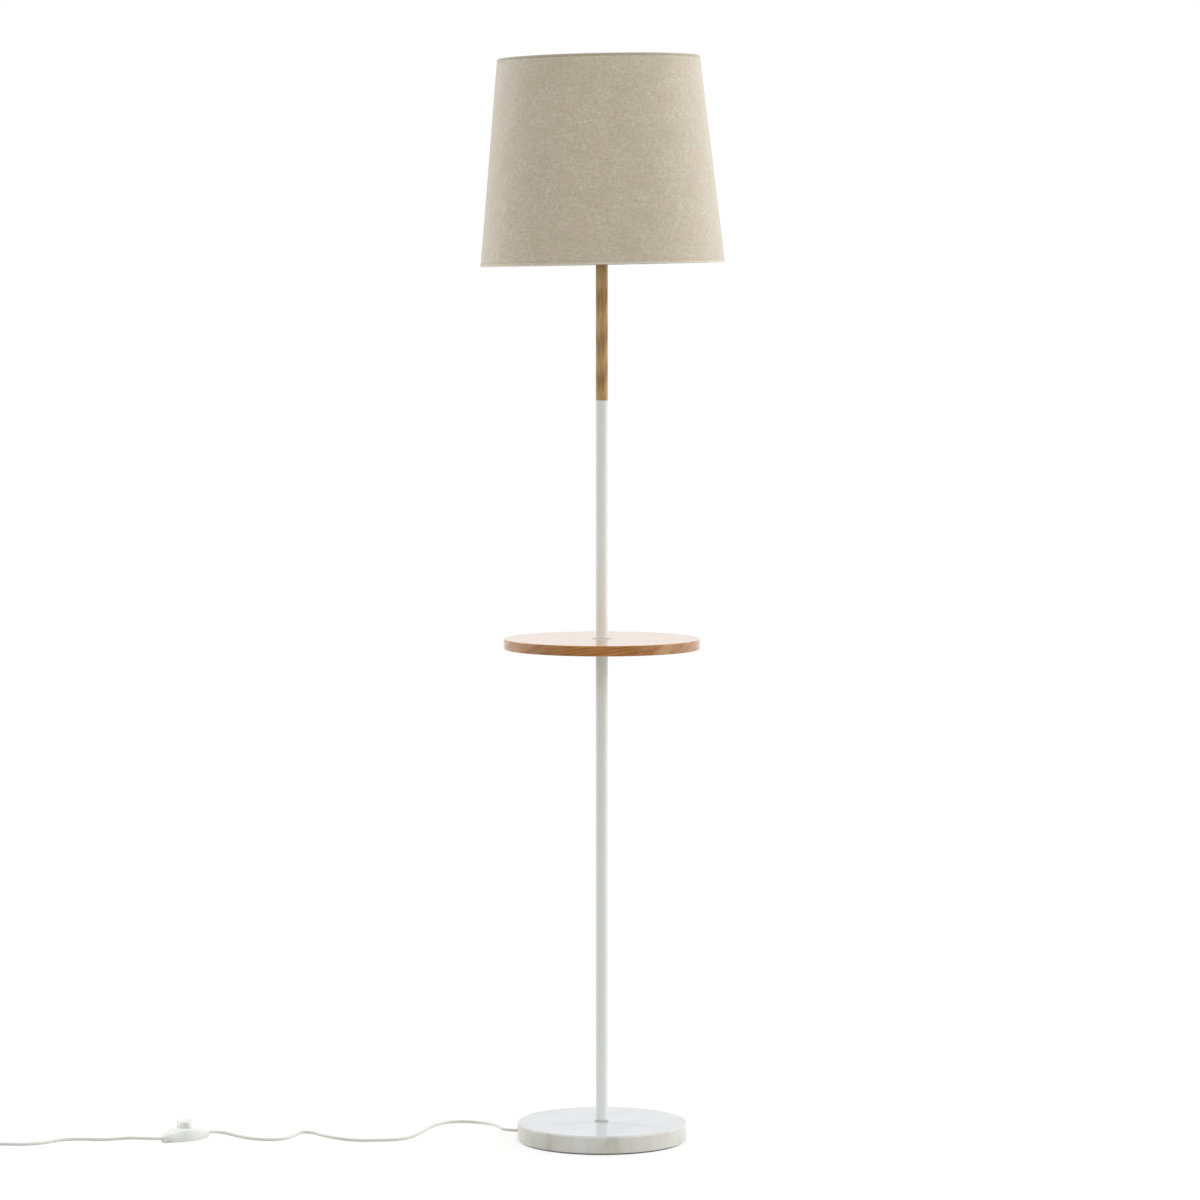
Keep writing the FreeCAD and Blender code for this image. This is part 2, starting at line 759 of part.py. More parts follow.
def add_shape(name, shape):
    piece = doc.addObject("Part::Feature", name)
    piece.Label = name
    piece.Shape = shape
    sub_parts.append(piece)
    return piece


def exit_point(reach, height):
    """A point out along the direction in which the cord leaves the foot."""
    azimuth = math.radians(value("exit_azimuth"))
    return Vector(reach * math.cos(azimuth), reach * math.sin(azimuth), height)


def switch_point(reach, height):
    """A point on the switch's long axis, at a reach from its middle."""
    yaw = math.radians(value("switch_yaw"))
    along = Vector(math.cos(yaw), math.sin(yaw), 0) * reach
    return Vector(value("switch_x"), value("switch_y"), height) + along


def lying(spots):
    """Route points from places in plan and the lift of the cord off the floor."""
    return [Vector(x, y, value("cord_radius") + lift) for x, y, lift in spots]


# The cord's free route between its ends: x, y and the cord's lift off the floor.
FOOT_TO_SWITCH = [
    (-143.2, 35.5, 6.8), (-148, 50, 6.8), (-154, 76, 5.4), (-164, 104, 2.4), (-180, 128, 0.2),
    (-203, 139, 0), (-228, 131, 0), (-246, 104, 0), (-258, 64, 0), (-270, 18, 0),
    (-292, -11, 0), (-326, -15, 0), (-360, -14, 0), (-386, 0, 0), (-400, 23, 0),
    (-406.5, 44, 0), (-414, 55, 0), (-425.5, 58.7, 0), (-436.5, 52.5, 0), (-442, 40, 0),
    (-446.5, 18, 0), (-455.5, -1.5, 0), (-471, -10.5, 0), (-492, -8.5, 0), (-511, 3, 0), (-527, 19.4, 0.1),
    (-539, 31.8, 0.8), (-549.9, 35.7, 2.2), (-560.6, 33.4, 3.6),
]
SWITCH_TO_COIL = [
    (-642.1, -28.3, 4.7), (-652.7, -25.5, 4.6), (-665.3, -14, 2.8), (-681, -1, 0.8), (-698, -3, 0.1),
    (-717, -12, 0), (-747, -5, 0), (-776, -9, 0), (-801, -38, 0), (-829, -49, 0),
    (-857, -44, 0), (-884, -44.9, 0),
]


def cords():
    """The cord inside the lamp, its two free stretches, and the coil of what is left over."""
    radius = value("cord_radius")
    height = value("exit_height")
    low = height - value("inner_cord_drop")
    lead = value("cord_lead")
    shank_end = value("marble_diameter / 2 - relief_length + relief_proud")
    add_shape("cord_inner", routed_tube("cord_inner", [
        exit_point(shank_end, height),
        exit_point(value("recess_diameter / 2 - 2"), height),
        exit_point(value("inner_cord_elbow"), low),
        Vector(0, 0, low),
        Vector(0, 0, value("holder_bottom + core_bottom_height")),
    ], radius))
    leave = value("marble_diameter / 2 + relief_proud")
    mouth = value("terminal_outer_x")
    mouth_height = value("switch_split_height")
    route = [exit_point(leave, height), exit_point(leave + lead, height)]
    route += lying(FOOT_TO_SWITCH)
    route += [switch_point(mouth + lead, mouth_height), switch_point(mouth, mouth_height)]
    add_shape("cord_to_switch", routed_tube("cord_to_switch", route, radius))
    coil_start = Vector(value("coil_x + coil_lead"), value("coil_y"), radius)
    route = [switch_point(-mouth, mouth_height), switch_point(-mouth - lead, mouth_height)]
    route += lying(SWITCH_TO_COIL)
    add_shape("cord_to_coil", routed_tube("cord_to_coil", route + [coil_start], radius))
    add_shape("cord_coil", coil(coil_start, radius))


def coil(start, radius):
    """Turns that spiral in on the floor, climb a layer at the inside and spiral out above."""
    pitch = value("cord_diameter + coil_gap")
    layer = value("coil_layer_turns")
    outside = value("coil_diameter / 2") + pitch * layer / 2
    inside = outside - pitch * layer
    middle = Vector(value("coil_x"), start.y + outside, radius)
    climb = 0.5
    turns = 2 * layer + climb

    def point(turn):
        share = min(max((turn - layer) / climb, 0), 1)
        if turn < layer:
            reach = outside - pitch * turn
        elif share < 1:
            reach = inside - pitch * climb * (share - share ** 2)
        else:
            reach = inside + pitch * (turn - layer - climb)
        angle = math.radians(-90 - 360 * turn)
        lift = pitch * (3 * share ** 2 - 2 * share ** 3)
        return middle + Vector(reach * math.cos(angle), reach * math.sin(angle), lift)

    ahead = Vector(-1, 0, 0)
    edges = [Part.LineSegment(start, point(0)).toShape()]
    edges += quarter_turns(point, turns, ahead, ahead)
    end = point(turns) + ahead * value("coil_tail")
    edges.append(Part.LineSegment(point(turns), end).toShape())
    gap = least_gap(edges, 2 * radius, 4 * radius)
    print(f"cord_coil: {turns} turns, least gap to itself {gap:.2f}")
    return tube_along("cord_coil", edges, radius, start, ahead)


def reliefs():
    """The tapered reliefs on the cord, at the foot and at the plug."""
    inside = "relief_length - relief_proud"
    relief = new_body("cord_relief")
    sketch = new_sketch(relief, "relief_outline")
    draw_outline(sketch, [
        ("0", "0"),
        ("relief_length", "0"),
        ("relief_length", "relief_tip_diameter / 2"),
        (inside, "relief_root_diameter / 2"),
        ("0", "relief_root_diameter / 2"),
    ])
    spin(relief, sketch, about_x=True)
    reach = f"(marble_diameter / 2 - ({inside}))"
    place(relief, f"{reach} * cos(exit_azimuth)", f"{reach} * sin(exit_azimuth)", "exit_height",
          "exit_azimuth")
    plug = new_body("plug_relief")
    sketch = new_sketch(plug, "plug_relief_outline")
    draw_outline(sketch, [
        ("0", "0"),
        ("plug_relief_length", "0"),
        ("plug_relief_length", "plug_relief_diameter / 2"),
        ("0", "relief_tip_diameter / 2"),
    ])
    spin(plug, sketch, about_x=True)
    place(plug, "plug_mouth_x", "coil_y", "plug_thickness / 2", "180")


def draw_oval(sketch, inset):
    """The switch's outline in four arcs that meet smoothly, drawn in by an inset."""
    end = f"(switch_end_radius - {inset})"
    x = f"switch_end_middle + {end} * switch_end_middle / switch_middles_apart"
    y = f"{end} * switch_side_middle / switch_middles_apart"
    side = f"switch_side_radius - {inset}"
    corners = [(x, y), (f"0 - ({x})", y), (f"0 - ({x})", f"0 - {y}"), (x, f"0 - {y}")]
    draw_outline(sketch, corners, {0: (side, 1), 1: (end, 1), 2: (side, 1), 3: (end, 1)})


def draw_pair(sketch, radius, x="0", y="0"):
    """Two circles, one each side of the sketch's middle."""
    draw_circle(sketch, radius, x, y)
    draw_circle(sketch, radius, x if x == "0" else f"0 - {x}", y if y == "0" else f"0 - {y}")


def crown(shell):
    """Curve the cover's top down to its ends and sides, and round its edge.

    The cut is turned about a line along the switch, under the floor.
    """
    side_view = new_sketch(shell, "crown_side", "XZ_Plane")
    bind(side_view, "AttachmentOffset.Base.y", "0 - crown_axis_drop")
    tip = "switch_length / 2"
    outside = "switch_length"
    low = "crown_axis_drop + switch_end_height"
    high = "crown_axis_drop + 2 * switch_height"
    draw_outline(side_view, [
        (outside, low),
        (tip, low),
        (f"0 - {tip}", low),
        (f"0 - {outside}", low),
        (f"0 - {outside}", high),
        (outside, high),
    ], {1: ("switch_crown_radius", 1)})
    cut = shell.newObject("PartDesign::Groove", "Crown")
    cut.Profile = side_view
    cut.ReferenceAxis = (side_view, ["H_Axis"])
    cut.Midplane = True
    cut.Angle = 180
    rim = value("switch_end_height") - 0.1
    round_edges(shell, cut, "switch_round", lambda edge: edge.BoundBox.ZMin > rim)


def switch_shell(name, bottom, top, hollow_from, hollow_to, foot):
    """One half of the switch's case, with its screw bosses and half of each cord mouth."""
    shell = new_body(name)
    outline = new_sketch(shell, name + "_outline", level=bottom)
    draw_oval(outline, "0")
    block = pad(shell, outline, f"{top} - {bottom}")
    if foot:
        round_edges(shell, block, "switch_foot_round", at_level(value(bottom)))
    else:
        crown(shell)
    hollow = new_sketch(shell, name + "_hollow", level=hollow_from)
    draw_oval(hollow, "switch_wall")
    pocket(shell, hollow, f"{hollow_to} - {hollow_from}", upwards=True)
    bosses = new_sketch(shell, name + "_bosses", level=hollow_from)
    draw_pair(bosses, "boss_diameter / 2", "boss_x", "boss_y")
    pad(shell, bosses, f"{hollow_to} - {hollow_from}")
    mouths = new_sketch(shell, name + "_mouths", "YZ_Plane")
    draw_circle(mouths, "switch_bore_radius", y="switch_split_height")
    pocket(shell, mouths, "switch_length * 1.2", midplane=True)
    return shell


def bore_pair(shell, name, radius, level, depth):
    """Two screw holes in a shell, upwards from a level."""
    holes = new_sketch(shell, name, level=level)
    draw_pair(holes, radius, "boss_x", "boss_y")
    pocket(shell, holes, depth, upwards=True)


def switch_case():
    """The clear case of the foot switch and its two screws."""
    lower = switch_shell("switch_base", "0", "switch_split_height", "switch_wall", "switch_split_height",
                         foot=True)
    bore_pair(lower, "screw_holes", "screw_diameter / 2 + screw_hole_clearance", "0", "switch_split_height")
    bore_pair(lower, "head_recesses", "screw_head_diameter / 2 + screw_hole_clearance", "0",
              "screw_recess + screw_head_height")
    upper = switch_shell("switch_cover", "cover_bottom", "switch_height", "cover_bottom", "cover_ceiling",
                         foot=False)
    screw_top = "screw_recess + screw_head_height + screw_length"
    bore_pair(upper, "screw_bores", "screw_diameter / 2 + screw_hole_clearance / 2", "cover_bottom",
              f"{screw_top} + screw_recess - cover_bottom")
    room = new_sketch(upper, "button_room", level="cover_ceiling")
    draw_circle(room, "room_radius")
    pocket(upper, room, "room_ceiling - cover_ceiling", upwards=True)
    opening = new_sketch(upper, "button_opening", level="room_ceiling")
    draw_circle(opening, "button_diameter / 2 + button_clearance")
    pocket(upper, opening, "2 * switch_roof", upwards=True)
    screws = new_body("switch_screws")
    heads = new_sketch(screws, "screw_heads", level="screw_recess")
    draw_pair(heads, "screw_head_diameter / 2", "boss_x", "boss_y")
    pad(screws, heads, "screw_head_height")
    shanks = new_sketch(screws, "screw_shanks", level="screw_recess + screw_head_height")
    draw_pair(shanks, "screw_diameter / 2", "boss_x", "boss_y")
    pad(screws, shanks, "screw_length")
    return [lower, upper, screws]


def switch_works():
    """The button with its plunger, and the core and terminals below it."""
    button = "button_diameter / 2"
    bore = f"{button} - button_wall"
    flange = f"{button} + button_flange_width"
    cap = turned("switch_button", [
        (bore, "button_flange_bottom"),
        (flange, "button_flange_bottom"),
        (flange, "button_flange_top"),
        (button, "button_flange_top"),
        (button, "button_top_height - button_round"),
        (f"{button} - button_round", "button_top_height"),
        ("0", "button_top_height"),
        ("0", "button_ceiling"),
        (bore, "button_ceiling"),
    ], {4: ("button_round", 1)})
    plunger = ring("switch_plunger", "plunger_diameter / 2", None, "0", "plunger_length")
    core = ring("switch_core", "core_diameter / 2", None, "0", "switch_core_height - switch_wall")
    blocks = new_body("switch_terminals")
    plan = new_sketch(blocks, "terminal_plan", level="switch_wall")
    inner = "terminal_outer_x - terminal_length"
    outer = "terminal_outer_x"
    half = "terminal_width / 2"
    for near, far in ((inner, outer), (f"0 - ({outer})", f"0 - ({inner})")):
        draw_outline(plan, [(near, f"0 - {half}"), (far, f"0 - {half}"), (far, half), (near, half)])
    pad(blocks, plan, "terminal_height")
    place(plunger, "switch_x", "switch_y", "button_ceiling - plunger_length", "switch_yaw")
    place(core, "switch_x", "switch_y", "switch_wall", "switch_yaw")
    return [cap, blocks]


def switch_spring():
    """The helical spring between the core and the button."""
    wire = value("spring_wire / 2")
    reach = value("spring_diameter / 2")
    low = value("switch_core_height") + wire
    rise = value("button_ceiling") - wire - low
    turns = value("spring_turns")

    def point(turn):
        angle = math.radians(360 * turn)
        return Vector(reach * math.cos(angle), reach * math.sin(angle), low + rise * turn / turns)

    ahead = Vector(0, 1, 0)
    start = point(0) - ahead * wire * 2
    end = point(turns) + ahead * wire * 2
    edges = [Part.LineSegment(start, point(0)).toShape()]
    edges += quarter_turns(point, turns, ahead, ahead)
    edges.append(Part.LineSegment(point(turns), end).toShape())
    print(f"switch_spring: least gap to itself {least_gap(edges, 2 * wire, 6 * wire):.2f}")
    spring = add_shape("switch_spring", tube_along("switch_spring", edges, wire, start, ahead))
    turn = FreeCAD.Rotation(Vector(0, 0, 1), value("switch_yaw"))
    spring.Placement = FreeCAD.Placement(Vector(value("switch_x"), value("switch_y"), 0), turn)


def foot_switch():
    for body in switch_case() + switch_works():
        place(body, "switch_x", "switch_y", "0", "switch_yaw")
    switch_spring()


def draw_plug_section(sketch, width, thickness, bevel, side):
    """The plug's eight-sided section."""
    x = f"{width} / 2"
    flat = f"({width} / 2 - {bevel})"
    y = f"{thickness} / 2"
    low = f"{side} / 2"
    draw_outline(sketch, [
        (x, f"0 - {low}"), (x, low), (flat, y), (f"0 - {flat}", y),
        (f"0 - {x}", low), (f"0 - {x}", f"0 - {low}"), (f"0 - {flat}", f"0 - {y}"), (flat, f"0 - {y}"),
    ])


def plug():
    """The two-pin plug: body, pins and the sleeves round their necks."""
    body = new_body("plug_body")
    neck = new_sketch(body, "plug_neck", "YZ_Plane")
    draw_plug_section(neck, "plug_neck_width", "plug_neck_thickness", "plug_neck_bevel",
                      "plug_neck_side_height")
    shoulder = new_sketch(body, "plug_shoulder", "YZ_Plane", "plug_taper_length")
    draw_plug_section(shoulder, "plug_width", "plug_thickness", "plug_bevel", "plug_side_height")
    taper = body.newObject("PartDesign::AdditiveLoft", "Taper")
    taper.Profile = neck
    taper.Sections = [shoulder]
    face = new_sketch(body, "plug_face", "YZ_Plane", "plug_taper_length")
    draw_plug_section(face, "plug_width", "plug_thickness", "plug_bevel", "plug_side_height")
    pad(body, face, "plug_face_length")
    front = "plug_taper_length + plug_face_length"
    pins = new_body("plug_pins")
    necks = new_sketch(pins, "pin_necks", "YZ_Plane", front)
    draw_pair(necks, "pin_neck_diameter / 2", x="pin_spacing / 2")
    pad(pins, necks, "sleeve_length")
    tips = new_sketch(pins, "pin_tips", "YZ_Plane", f"{front} + sleeve_length")
    draw_pair(tips, "pin_diameter / 2", x="pin_spacing / 2")
    solid_tips = pad(pins, tips, "pin_length - sleeve_length")
    end = value(f"{front} + pin_length")
    round_edges(pins, solid_tips, "pin_round", lambda edge: abs(edge.BoundBox.XMin - end) < 0.01)
    sleeves = new_body("pin_sleeves")
    rings = new_sketch(sleeves, "sleeve_rings", "YZ_Plane", front)
    draw_pair(rings, "sleeve_diameter / 2", x="pin_spacing / 2")
    draw_pair(rings, "pin_neck_diameter / 2 + sleeve_fit", x="pin_spacing / 2")
    pad(sleeves, rings, "sleeve_length")
    for piece in (body, pins, sleeves):
        place(piece, "plug_neck_x", "coil_y", "plug_thickness / 2", "180")


def check(thing):
    """Stop if an object has failed or a sub-part has no sound shape."""
    assert "Invalid" not in thing.State and "Error" not in thing.State, f"{thing.Label}: {thing.State}"
    if thing in sub_parts:
        assert not thing.Shape.isNull() and thing.Shape.isValid(), f"{thing.Label}: unsound shape"
        assert thing.Shape.Solids, f"{thing.Label}: no solid"


fill(sizes, {alias: str(number) for alias, number in SIZES.items()})
fill(places, {alias: "=" + formula(text, home=places) for alias, text in PLACES.items()})
doc.recompute()
for build in (base, pole, table, stem, holder, bulb, shade, reliefs, cords, foot_switch, plug):
    build()
    doc.recompute()
for item in doc.Objects:
    check(item)
os.makedirs("parts", exist_ok=True)
for item in sub_parts:
    item.Shape.exportStep(f"parts/{item.Label}.step")
print(len(sub_parts), "sub-parts")
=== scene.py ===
import json
import math

import bmesh
import bpy
from mathutils import Matrix, Vector


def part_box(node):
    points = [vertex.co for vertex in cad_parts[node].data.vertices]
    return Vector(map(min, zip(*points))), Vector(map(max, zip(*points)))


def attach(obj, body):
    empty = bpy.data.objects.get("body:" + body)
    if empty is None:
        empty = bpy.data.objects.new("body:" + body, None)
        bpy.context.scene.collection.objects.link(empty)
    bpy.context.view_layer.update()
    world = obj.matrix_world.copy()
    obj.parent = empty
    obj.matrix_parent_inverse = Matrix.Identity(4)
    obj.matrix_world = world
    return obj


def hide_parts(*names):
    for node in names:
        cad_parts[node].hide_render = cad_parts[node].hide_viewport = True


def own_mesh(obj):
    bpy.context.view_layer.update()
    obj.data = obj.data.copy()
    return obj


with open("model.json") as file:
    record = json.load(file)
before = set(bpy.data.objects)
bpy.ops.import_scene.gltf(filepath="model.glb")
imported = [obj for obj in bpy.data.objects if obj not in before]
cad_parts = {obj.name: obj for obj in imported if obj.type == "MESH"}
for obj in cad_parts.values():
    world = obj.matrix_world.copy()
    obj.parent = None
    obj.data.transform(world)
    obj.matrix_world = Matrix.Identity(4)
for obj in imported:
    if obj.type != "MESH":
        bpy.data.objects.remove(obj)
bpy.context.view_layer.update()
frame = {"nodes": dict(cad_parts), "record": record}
nodes = frame["nodes"]
scene = bpy.context.scene
MM = 0.001

# Shade: measured from the hub that it leans about.
HUB = Vector((0, 0, 1320.1)) * MM
LEAN = Matrix.Translation(HUB) @ Matrix.Rotation(math.radians(1.2), 4, (0, -1, 0))
SHADE_LOW, SHADE_HIGH = -63 * MM, 230 * MM
RADIUS_LOW, RADIUS_HIGH = 174 * MM, 144 * MM
MEAN_RADIUS = (RADIUS_LOW + RADIUS_HIGH) / 2
SINK = 0.15 * MM  # how far the cloth's face lies inside the cone
CURL, LIP = 1.2 * MM, 5.2 * MM  # the rolled rims' radius and how far they reach in
RIM = LIP - CURL + math.pi / 2 * CURL  # along the cloth, from its end to the cone
CLOTH_RISE = math.hypot(RADIUS_LOW - RADIUS_HIGH, SHADE_HIGH - SHADE_LOW - 2 * CURL) + 2 * RIM

# ---------------------------------------------------------------- node trees

NOISE_LOW, NOISE_HIGH = 0.3, 0.7  # most of a noise's values lie between these


class Tree:
    """The node tree of a material or of the world, written as calls that return sockets."""

    def __init__(self, name, world=False):
        self.owner = (bpy.data.worlds if world else bpy.data.materials).new(name)
        self.owner.use_nodes = True
        self.nodes = self.owner.node_tree.nodes
        self.links = self.owner.node_tree.links
        self.nodes.clear()
        self.out = self.nodes.new("ShaderNodeOutputWorld" if world else "ShaderNodeOutputMaterial")

    def feed(self, socket, given):
        """Link a socket to the one given, or set its value. A colour may leave its alpha out."""
        if isinstance(given, bpy.types.NodeSocket):
            self.links.new(given, socket)
        elif socket.type == "RGBA" and len(given) == 3:
            socket.default_value = (*given, 1)
        else:
            socket.default_value = given

    def add(self, kind, values=None, **settings):
        """A new node; values go to its inputs, by name or number, and settings to the node."""
        node = self.nodes.new("ShaderNode" + kind)
        for name, setting in settings.items():
            setattr(node, name, setting)
        for key, given in (values or {}).items():
            self.feed(node.inputs[key], given)
        return node

    def mapped(self, where, scale=(1, 1, 1), turn=(0, 0, 0), shift=(0, 0, 0)):
        return self.add("Mapping", {"Vector": where, "Scale": scale, "Rotation": turn,
                                    "Location": shift}).outputs[0]

    def coords(self, scale=(1, 1, 1), turn=(0, 0, 0)):
        """Places on the object, in metres before they are scaled."""
        return self.mapped(self.add("TexCoord").outputs["Object"], scale, turn)

    def noise(self, where, scale, detail=3, rough=0.5, distortion=0.0):
        return self.add("TexNoise", {"Vector": where, "Scale": scale, "Detail": detail,
                                     "Roughness": rough, "Distortion": distortion}).outputs["Fac"]

    def wave(self, where, scale, distortion=0.0, detail=2, direction="X"):
        return self.add("TexWave", {"Vector": where, "Scale": scale, "Distortion": distortion,
                                    "Detail": detail}, bands_direction=direction).outputs["Fac"]

    def span(self, fac, low, high, to_low=0.0, to_high=1.0):
        """Values from low to high, moved to the range from to_low to to_high and held there."""
        return self.add("MapRange", {"Value": fac, "From Min": low, "From Max": high, "To Min": to_low,
                                     "To Max": to_high}).outputs[0]

    def spread(self, noise, to_low=0.0, to_high=1.0):
        """A noise's usual values, moved to the range from to_low to to_high."""
        return self.span(noise, NOISE_LOW, NOISE_HIGH, to_low, to_high)

    def maths(self, kind, first, second=0.0):
        return self.add("Math", {0: first, 1: second}, operation=kind).outputs[0]

    def weighed(self, *parts):
        """The sum of (value, weight) pairs, each value times its weight."""
        total, *others = [self.maths("MULTIPLY", value, weight) for value, weight in parts]
        for other in others:
            total = self.maths("ADD", total, other)
        return total

    def ramp(self, fac, places, colours):
        """A colour for each value: the colours stand at the places, from low to high."""
        node = self.add("ValToRGB", {"Fac": fac})
        elements = node.color_ramp.elements
        while len(elements) < len(places):
            elements.new(0.5)
        for element, place, colour in zip(elements, places, colours):
            element.position = place
            element.color = (*colour, 1)
        return node.outputs["Color"]

    def mix(self, fac, first, second, share=1.0):
        """Blend two colours; share is how far the blend goes where the factor is 1."""
        if share != 1.0:
            fac = self.maths("MULTIPLY", fac, share)
        node = self.add("Mix", data_type="RGBA")
        for name, kind, given in (("Factor", "VALUE", fac), ("A", "RGBA", first), ("B", "RGBA", second)):
            socket = next(each for each in node.inputs if each.name == name and each.type == kind)
            self.feed(socket, given)
        return next(each for each in node.outputs if each.type == "RGBA")

    def bump(self, height, strength, distance):
        return self.add("Bump", {"Height": height, "Strength": strength, "Distance": distance}).outputs[0]

    def sideways(self, axis):
        """How far faces are turned towards or away from an axis, 0 to 1."""
        normal = self.add("TexCoord").outputs["Normal"]
        return self.maths("ABSOLUTE", self.add("SeparateXYZ", {"Vector": normal}).outputs[axis])

    def upward(self):
        """1 on faces that look up or down, 0 on upright ones."""
        return self.span(self.sideways("Z"), 0.55, 0.9)

    def seen(self):
        """1 on rays from the camera, and on those that a gloss or clear plastic sends on."""
        rays = self.add("LightPath").outputs
        sent_on = self.maths("MAXIMUM", rays["Is Glossy Ray"], rays["Is Transmission Ray"])
        return self.maths("MAXIMUM", rays["Is Camera Ray"], sent_on)

    def blend(self, fac, first, second):
        """Blend two shaders."""
        return self.add("MixShader", {"Fac": fac, 1: first, 2: second}).outputs[0]

    def surface(self, shader):
        self.links.new(shader, self.out.inputs["Surface"])
        return self.owner

    def principled(self, **values):
        names = {key.replace("_", " ").title().replace("Ior", "IOR"): given for key, given in values.items()}
        return self.surface(self.add("BsdfPrincipled", names).outputs[0])


def srgb(red, green, blue):
    """Linear colour from 8-bit sRGB."""
    return tuple((c / 255 / 12.92) if c <= 10 else ((c / 255 + 0.055) / 1.055) ** 2.4
                 for c in (red, green, blue))


def dimmed(colour, share):
    return tuple(share * c for c in colour)


# ---------------------------------------------------------------- materials


def linen():
    """Coarse heathered linen: crossed threads of uneven tone, with slubs and dark flecks."""
    tree = Tree("linen")
    uv = tree.add("UVMap", uv_map="Cloth").outputs[0]

    def cloth_noise(scale, shift=(0, 0), detail=3, rough=0.6):
        """Noise on the flat cloth; scale and shift are round the shade and up it."""
        return tree.noise(tree.mapped(uv, (*scale, 1), shift=(*shift, 0)), 1, detail, rough)

    def spots(scale, shift, low, high, detail=3, rough=0.6):
        return tree.span(cloth_noise(scale, shift, detail, rough), low, high)

    tall = cloth_noise((620, 110), rough=0.65)
    wide = cloth_noise((100, 660), (5, 3), rough=0.65)
    mottle = cloth_noise((170, 170), (4, 8), 4, 0.75)
    tone = tree.weighed((tall, 0.32), (wide, 0.36), (mottle, 0.32))
    colour = tree.ramp(tone, (0.33, 0.5, 0.66),
                       (srgb(171, 158, 139), srgb(211, 200, 182), srgb(234, 227, 215)))
    rosy = spots((34, 30), (0, 0), 0.45, 0.62, rough=0.7)
    greenish = spots((30, 36), (7, 2), 0.48, 0.64, rough=0.7)
    specks = spots((520, 520), (1, 1), NOISE_LOW, NOISE_HIGH)
    colour = tree.mix(rosy, colour, srgb(210, 182, 166), share=0.42)
    colour = tree.mix(greenish, colour, srgb(184, 186, 158), share=0.36)
    colour = tree.mix(specks, colour, srgb(160, 150, 130), share=0.34)

    warp = tree.wave(uv, 190, 1.2, direction="X")
    weft = tree.wave(uv, 200, 1.2, direction="Y")
    threads = tree.maths("MULTIPLY", tree.span(warp, 0, 1, 0.55, 1), tree.span(weft, 0, 1, 0.55, 1))
    colour = tree.mix(tree.span(threads, 0.3, 0.9, 0.24, 0.0), colour, srgb(140, 130, 108))
    slub_wide = spots((22, 420), (9, 1), 0.6, 0.74)
    slub_tall = spots((420, 20), (2, 7), 0.62, 0.76)
    flecks = spots((330, 330), (3, 3), 0.68, 0.76, 2, 0.5)
    colour = tree.mix(slub_wide, colour, srgb(160, 148, 126), share=0.26)
    colour = tree.mix(slub_tall, colour, srgb(160, 150, 128), share=0.22)
    colour = tree.mix(flecks, colour, srgb(112, 96, 74), share=0.5)

    # Painted shade: greyer at the top rim's rolled edge; painted light: pale on the bottom rim, as if lit by
    # the white floor below.
    level = tree.add("SeparateXYZ", {"Vector": uv}).outputs["Y"]
    top_face = CLOTH_RISE - RIM
    top_rim_painted_shade = tree.span(level, top_face - 3.5 * MM, top_face - 1.5 * MM)
    bottom_rim_painted_light = tree.span(level, RIM - 0.5 * MM, RIM + 0.5 * MM, 1, 0)
    colour = tree.mix(top_rim_painted_shade, colour, srgb(120, 116, 106), share=0.3)
    colour = tree.mix(bottom_rim_painted_light, colour, srgb(255, 252, 244), share=0.8)
    slubs = tree.maths("ADD", slub_wide, slub_tall)
    height = tree.weighed((threads, 1.0), (slubs, 0.5), (tone, 0.8))
    return tree.principled(base_color=colour, roughness=0.92, specular_ior_level=0.2,
                           sheen_weight=0.55, sheen_roughness=0.5,
                           normal=tree.bump(height, 0.45, 0.4 * MM))


def marble():
    """White marble: cloudy, with soft grey veins, and blotchy round its edge; its top is painted darker and
    bluer and its edge paler and warmer, as painted light for how light falls on each.
    """
    tree = Tree("marble")
    where = tree.coords()
    warp = tree.add("TexNoise", {"Vector": where, "Scale": 9, "Detail": 4, "Roughness": 0.6})
    bent = tree.add("VectorMath", {0: warp.outputs["Color"], 1: (0.16, 0.16, 0.1), 2: where},
                    operation="MULTIPLY_ADD").outputs[0]
    cells = tree.add("TexVoronoi", {"Vector": bent, "Scale": 5.0}, feature="DISTANCE_TO_EDGE")
    veins = tree.maths("POWER", tree.span(cells.outputs["Distance"], 0.0, 0.2, 1.0, 0.0), 2.0)
    veins = tree.maths("MULTIPLY", veins, tree.span(tree.noise(where, 8), 0.42, 0.7))

    cloud = tree.noise(bent, 11, 5, 0.6)
    # Painted light: the top's tones are set darker and bluer than the edge's, for how light falls on it.
    top = tree.ramp(cloud, (0.3, 0.5, 0.7), (srgb(194, 197, 203), srgb(204, 206, 211), srgb(201, 203, 206)))
    top = tree.mix(veins, top, srgb(160, 167, 176), share=0.4)

    upright = tree.coords((1, 1, 0.35))
    blotch = tree.span(tree.noise(upright, 34, 4, 0.65, 0.5), 0.46, 0.7)
    warm = tree.span(tree.noise(upright, 18, 3, 0.6), 0.4, 0.62)
    # Painted light: the edge's tones are set paler and warmer than the top's, for how light falls on it; the
    # blotches are the stone's own.
    edge = tree.mix(warm, srgb(219, 220, 217), srgb(220, 217, 205))
    edge = tree.mix(blotch, edge, srgb(180, 182, 178), share=0.55)
    edge = tree.mix(veins, edge, srgb(150, 154, 150), share=0.5)

    # Painted light: the one stone gets a darker, bluer top and a paler, warmer edge.
    colour = tree.mix(tree.upward(), edge, top)
    crystals = tree.span(tree.noise(where, 260, 3, 0.6), 0.4, 0.7)
    colour = tree.mix(crystals, colour, srgb(190, 190, 188), share=0.12)
    return tree.principled(base_color=colour, roughness=tree.spread(cloud, 0.08, 0.16),
                           subsurface_weight=0.12, subsurface_radius=(0.006, 0.006, 0.005),
                           subsurface_scale=1.0, coat_weight=0.18, coat_roughness=0.06)


